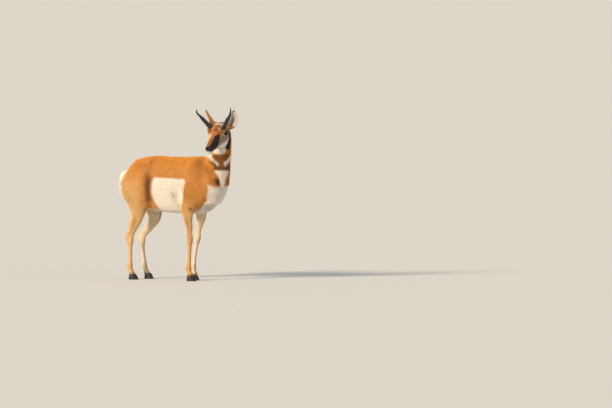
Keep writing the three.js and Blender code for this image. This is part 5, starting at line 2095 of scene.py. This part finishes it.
@dataclass
class Horn:
    """A flattened sheath with one forward prong, knobbly at its root and grooved along its length."""

    word: str
    side: int

    def build(self, finish: Material) -> Object:
        """Meshes the horn's own field and stands it for the node.

        Args:
            finish: its material.

        Returns:
            The object.
        """
        course = head_course(self.side, HORN_ROOT, HORN_STEPS[self.word])
        steps = np.linspace(0, 1, 110)
        path, way = course.at(steps), course.way(steps)
        front = UPRIGHT @ np.array([1, -self.side * 0.1, 0])
        first, second = across(way, front / np.linalg.norm(front))
        sections = Track(HORN_SECTIONS)
        foot = course.at(np.array([0.47]))[0]
        out = UPRIGHT @ np.array([0.97, self.side * 0.12, 0.08])
        prong = Curve([foot, foot + out * 21.6, foot + out * 35 + [-1, 0, 3]])
        prong_steps = np.linspace(0, 1, 24)
        prong_path = prong.at(prong_steps)

        def distance(x: Array, y: Array, z: Array) -> Array:
            """The horn's own field, in the head's frame."""
            p = np.stack([x, y, z], -1)
            result = np.empty(len(p))
            for k in range(0, len(p), CHUNK):
                part = p[k:k + CHUNK]
                near = ((part[:, None] - path[None]) ** 2).sum(-1).argmin(1)
                rel = part - path[near]
                t = steps[near]
                a, b = sections(t)
                fore, side, beyond = ((rel * d[near]).sum(-1) for d in (first, second, way))
                turned = np.arctan2(side / b, fore / a)
                grain = 0.45 * np.sin(9 * turned + 14 * t) * ramp(t, 1, 0.6)
                grain += 0.5 * np.sin(5 * turned + 3) * bell(t, 0.3)
                knob = 0.9 * np.sin(7 * turned + 60 * t) * np.sin(95 * t + 2 * np.sin(3 * turned))
                knob *= ramp(t, 0.34, 0.04)
                d = ellipse(fore, side, a, b)
                d = np.where(np.abs(beyond) > 1.5, np.hypot(np.maximum(d, 0), beyond), d) - grain * 0.7 - knob
                near = ((part[:, None] - prong_path[None]) ** 2).sum(-1)
                at = near.argmin(1)
                r = np.interp(prong_steps[at], [0, 1], PRONG_RADII)
                e = np.sqrt(near[np.arange(len(part)), at]) - r
                result[k:k + CHUNK] = join(d, e, 9)
            return result

        low, high = path.min(0) - 26, path.max(0) + 26
        low, high = np.minimum(low, prong_path.min(0) - 8), np.maximum(high, prong_path.max(0) + 8)
        grid = Grid(*(np.arange(low[i] + 0.3, high[i], 2.0) for i in range(3)))
        local, faces = main_part(*grid.net(distance, rounds=2))
        horn = mesh_of(f"horn_sheath_{self.word}", ANATOMY.from_head(local), faces)
        horn.data.materials.append(finish)
        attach(horn, "root")
        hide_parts(f"horn_{self.word}")
        return horn


EAR_ROOT = (-52, 47, 4)
EAR_HALF_WIDTH, EAR_WALL = 32.0, 2.6
# Which way the cup opens and the steps of its middle line: ahead, out and up
EARS = {
    "left": ((0.86, 0.5, 0.1), [(0, 0, 0), (-4, 29, 14), (-11, 45, 44), (-19, 49, 82), (-26, 42, 119)]),
    "right": ((0.25, 0.95, 0), [(0, 0, 0), (-7, 28, 27), (-13, 50, 54), (-20, 68, 84), (-25, 80, 113)]),
}
# Along the ear: half width and half depth
EAR_SECTIONS = [
    (0, 0.5, 0.5), (0.12, 0.78, 0.58), (0.3, 1, 0.62), (0.5, 1, 0.56), (0.7, 0.8, 0.43), (0.86, 0.47, 0.27),
    (0.95, 0.23, 0.15), (1, 0.07, 0.06),
]


@dataclass
class Ear:
    """A leaf-shaped cup of thin wall, tan outside and whitish inside, with a dark rim."""

    word: str
    side: int
    steps: int = 120

    def __post_init__(self) -> None:
        """Lays the cup's middle line and the ways across it."""
        (ahead, out, up), stops = EARS[self.word]
        course = head_course(self.side, EAR_ROOT, stops)
        facing = UPRIGHT @ np.array([ahead, self.side * out, up])
        self.t = np.linspace(0, 1, self.steps)
        self.path, self.way = course.at(self.t), course.way(self.t)
        self.first, self.second = across(self.way, facing / np.linalg.norm(facing))
        self.sections = Track(EAR_SECTIONS)

    def local(self, p: Array) -> tuple[Array, ...]:
        """Where places lie by the ear's own middle line.

        Args:
            p: places in the head's frame.

        Returns:
            Share along it, then distances towards its opening, across it and past its ends.
        """
        near = np.empty(len(p), int)
        for k in range(0, len(p), CHUNK):
            near[k:k + CHUNK] = ((p[k:k + CHUNK, None] - self.path[None]) ** 2).sum(-1).argmin(1)
        rel = p - self.path[near]
        fore, beside, beyond = ((rel * d[near]).sum(-1) for d in (self.first, self.second, self.way))
        return self.t[near], fore, beside, beyond

    def distance(self, x: Array, y: Array, z: Array) -> Array:
        """The cup's own field.

        Args:
            x, y, z: places in the head's frame.

        Returns:
            The distances.
        """
        t, fore, beside, beyond = self.local(np.stack([x, y, z], -1))
        wide, deep = self.sections(t)
        a, b = deep * EAR_HALF_WIDTH - 0.8, wide * EAR_HALF_WIDTH - 0.8
        outer = ellipse(fore, beside, a, b)
        end = np.where((t <= 0) | (t >= 1), np.abs(beyond), 0)
        outer = np.where(end > 0, np.hypot(np.maximum(outer, 0), end), outer)
        wall = np.minimum(EAR_WALL, np.minimum(b * 0.4, a * 0.45))
        sink = a * 1.25
        closing = np.clip(np.minimum((t - 0.1) / 0.22, (1 - t) / 0.11), 0.02, 1) ** 0.7
        hollow = ellipse(fore - (sink - a + wall), beside, sink * closing, np.maximum(b - wall, 0.6) * closing)
        fold = 1.1 * bell(beside / np.maximum(b, 1) - 0.35, 0.1) + 0.9 * bell(beside / np.maximum(b, 1) + 0.4, 0.1)
        hollow = hollow + fold * ramp(t, 0.2, 0.35) * ramp(t, 0.75, 0.6) * (fore < 0)
        return carve(outer, hollow, 1.6)

    def build(self, tree_coat: Coat, finish: Material) -> list[Object]:
        """Makes the cup and its fur.

        Args:
            tree_coat: grows the fur.
            finish: the cup's material, which shows the mesh's own marks.

        Returns:
            The pieces.
        """
        low, high = self.path.min(0) - 34, self.path.max(0) + 34
        grid = Grid(*(np.arange(low[i] + 0.2, high[i], 1.9) for i in range(3)))
        local, faces = main_part(*grid.net(self.distance, rounds=2))
        normal = unit(slope(self.distance, local))
        points = ANATOMY.from_head(local)
        ear = mesh_of(f"ear_cup_{self.word}", points, faces)
        set_attribute(ear, "Marks", "FLOAT_COLOR", np.c_[self.colours(points) * 0.8, np.ones(len(points))])
        ear.data.materials.append(finish)
        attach(ear, "root")
        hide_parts(f"ear_{self.word}")
        t, _, beside, _ = self.local(local)
        inner = self.inside(local)
        near = np.clip((t * (self.steps - 1)).round().astype(int), 0, self.steps - 1)
        lie = self.way[near] + 0.12 * inner[:, None] * self.first[near]
        lie -= self.second[near] * (0.5 * inner * np.sign(beside) * ramp(np.abs(beside), 4, 16))[:, None]
        lie -= normal * (lie * normal).sum(1)[:, None]
        lie = unit(lie)
        rim = self.rim(local)
        length = np.where(inner > 0.5, 9.0 + 7 * ramp(t, 0.7, 0.3) * ramp(rim, 0, 12), 6.5)
        length *= 1 - 0.45 * bell(rim, 4)
        count = np.where(inner > 0.5, 13.0, 22.0) * ramp(t, 0.02, 0.1)
        ground = Ground(points, faces, lie @ ANATOMY.head_turn.T, length, np.where(inner > 0.5, 1.2, 1.35), count)
        fur = tree_coat.build(f"ear_fur_{self.word}", ground, self.colours, self.unwrap, 0.0, 31 + self.side)
        return [ear, fur]

    def inside(self, q: Array) -> Array:
        """1 on the cup's hollow side, 0 on its back.

        Args:
            q: places in the head's frame.

        Returns:
            A share for each.
        """
        t, fore, beside, _ = self.local(q)
        wide, deep = self.sections(t)
        a, b = deep * EAR_HALF_WIDTH - 0.8, wide * EAR_HALF_WIDTH - 0.8
        return ramp(ellipse(fore, beside, a, b), -0.9, -1.9) * ramp(t, 0.1, 0.2)

    def rim(self, q: Array) -> Array:
        """Millimetres from the cup's edge, nearly.

        Args:
            q: places in the head's frame.

        Returns:
            The distances.
        """
        t, fore, beside, _ = self.local(q)
        wide, deep = self.sections(t)
        a, b = deep * EAR_HALF_WIDTH, wide * EAR_HALF_WIDTH
        angle = np.degrees(np.arctan2(np.abs(beside) / b, fore / a))
        return np.abs(angle - 62) * b / 57 * ramp(t, 0.08, 0.2) + 40 * (1 - ramp(t, 0.08, 0.2))

    def colours(self, p: Array) -> Array:
        """The fur's colours.

        Args:
            p: places in the body frame.

        Returns:
            One row for each.
        """
        q = ANATOMY.to_head(p)
        t, _, beside, _ = self.local(q)
        inner, rim = self.inside(q)[:, None], self.rim(q)[:, None]
        fray, tip, middle = ripple(p, 17)[:, None], t[:, None], beside[:, None]
        back = Fur.TAN.light * 0.55 + Fur.RUST.light * 0.35
        back = back + (Fur.BROWN.light - back) * (0.65 * ramp(tip, 0.72, 1) + 0.2 * bell(middle, 7)).clip(0, 1)
        hollow = Fur.JAW.light + (Fur.WHITE.light - Fur.JAW.light) * ramp(fray, -0.5, 0.7)
        # Painted shade down the middle of the cup's hollow
        shade = 0.78 * bell(middle, 12) * ramp(tip, 0.92, 0.55)
        hollow = hollow + (Fur.CHEEK.light * 0.45 - hollow) * shade
        colour = back + (hollow - back) * inner
        dark = 0.9 * ramp(rim, 3.4, 1.6) * ramp(tip, 0.25, 0.45) + 0.5 * ramp(tip, 0.9, 1)
        return (colour + (Fur.MASK.light - colour) * dark.clip(0, 1)).clip(0, 1)

    def unwrap(self, p: Array) -> Array:
        """Round the cup and along it, its hollow side on the right half.

        Args:
            p: places in the body frame.

        Returns:
            Places on the unwrap, from 0 to 1.
        """
        q = ANATOMY.to_head(p)
        t, fore, beside, _ = self.local(q)
        turned = np.arctan2(beside, -fore) / (2 * math.pi)
        inner = self.inside(q) > 0.5
        return np.c_[0.25 + 0.46 * turned + 0.5 * inner, 0.02 + 0.96 * t]


# A claw: height, heel and toe along its length, half width, and how far its toe turns in
CLAW_RINGS = [(0, -0.42, 0.58, 1, 4), (7, -0.43, 0.53, 1, 3.5), (22, -0.4, 0.4, 0.97, 2.5),
              (34, -0.35, 0.3, 0.88, 1.5), (40, -0.3, 0.24, 0.8, 1)]
CLAW_LENGTH, CLAW_HALF = 66.0, 12.5


@dataclass
class Claw:
    """One half of a cloven hoof: flat sole, pointed toe, and faint rings of growth in its wall."""

    leg: int
    which: str

    def build(self, finish: Material) -> Object:
        """Makes the claw and stands it for its node.

        Args:
            finish: its material.

        Returns:
            The object.
        """
        name, side, _, line = ANATOMY.legs[self.leg]
        out = side if self.which == "outer" else -side
        track = Track(CLAW_RINGS)
        heights = np.array([0, 0.8, 2.4, 5, 8, 11, 14, 17, 20, 23, 26, 29, 32, 35, 37.5, 39.4, 40])
        heel, toe, half, inward = track(heights)
        a = np.linspace(0, 2 * math.pi, 32, endpoint=False)
        c = np.cos(a)[None]
        ripples = 0.22 * np.sin(heights * 2.1)[:, None] * (heights > 3)[:, None]
        round_off = np.interp(heights, [0, 0.8, 2.4, 37.5, 39.4, 40], [0.965, 0.985, 1, 1, 0.97, 0.9])[:, None]
        narrow = np.where(c > 0, 1 - 0.62 * c * c, 1)
        x = (heel[:, None] + (toe - heel)[:, None] * (c + 1) / 2) * CLAW_LENGTH
        middle = ((heel + toe) / 2 * CLAW_LENGTH)[:, None]
        x = middle + (x - middle) * round_off - 0.2 + ripples * c * 0.8
        y = np.sin(a)[None] * (half[:, None] * CLAW_HALF * round_off - 0.15 + ripples) * narrow
        y = y - out * inward[:, None] * np.maximum(c, 0)
        z = np.broadcast_to(heights[:, None], x.shape)
        points, faces = lofted(np.stack([x, y, z], -1))
        reach, spread = (v[0] for v in line(np.zeros(1)))
        points = points @ turn("Z", -side * 4).T + [reach + 9, side * spread + out * (CLAW_HALF + 0.9), 0]
        claw = mesh_of(f"{name}_hoof_{self.which}", points, outward(points - points.mean(0), faces))
        level = points[faces][:, :, 2].max(1) < 0.01
        claw.data.polygons.foreach_set("use_smooth", ~level)
        claw.data.materials.append(finish)
        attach(claw, "root")
        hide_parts(f"{name}_claw_{self.which}")
        return claw


def main() -> None:
    """Builds every piece in order and logs it."""
    logging.basicConfig(level=logging.INFO, format="%(name)s: %(message)s")
    skin = Skin()
    fur = SKIN_FUR.material()
    pieces = [skin.build(fur)]
    coat = Coat(coat_tree(), TUFT_FUR.material())
    pieces += Dress(skin, coat).build()
    gloss, bare, horn, hoof = eye_gloss(), BARE_SKIN.material(), HORN_BLACK.material(), HOOF_BLACK.material()
    for word, side in (("left", 1), ("right", -1)):
        pieces += Eye(word, side).build(gloss, bare)
        pieces += Ear(word, side).build(coat, fur)
        pieces.append(Horn(word, side).build(horn))
    for leg in range(len(LEGS)):
        pieces += [Claw(leg, which).build(hoof) for which in ("inner", "outer")]
    Studio().build()
    for piece in pieces:
        log.info("%s: %d faces", piece.name, len(piece.data.polygons))


if __name__ == "__main__":
    main()
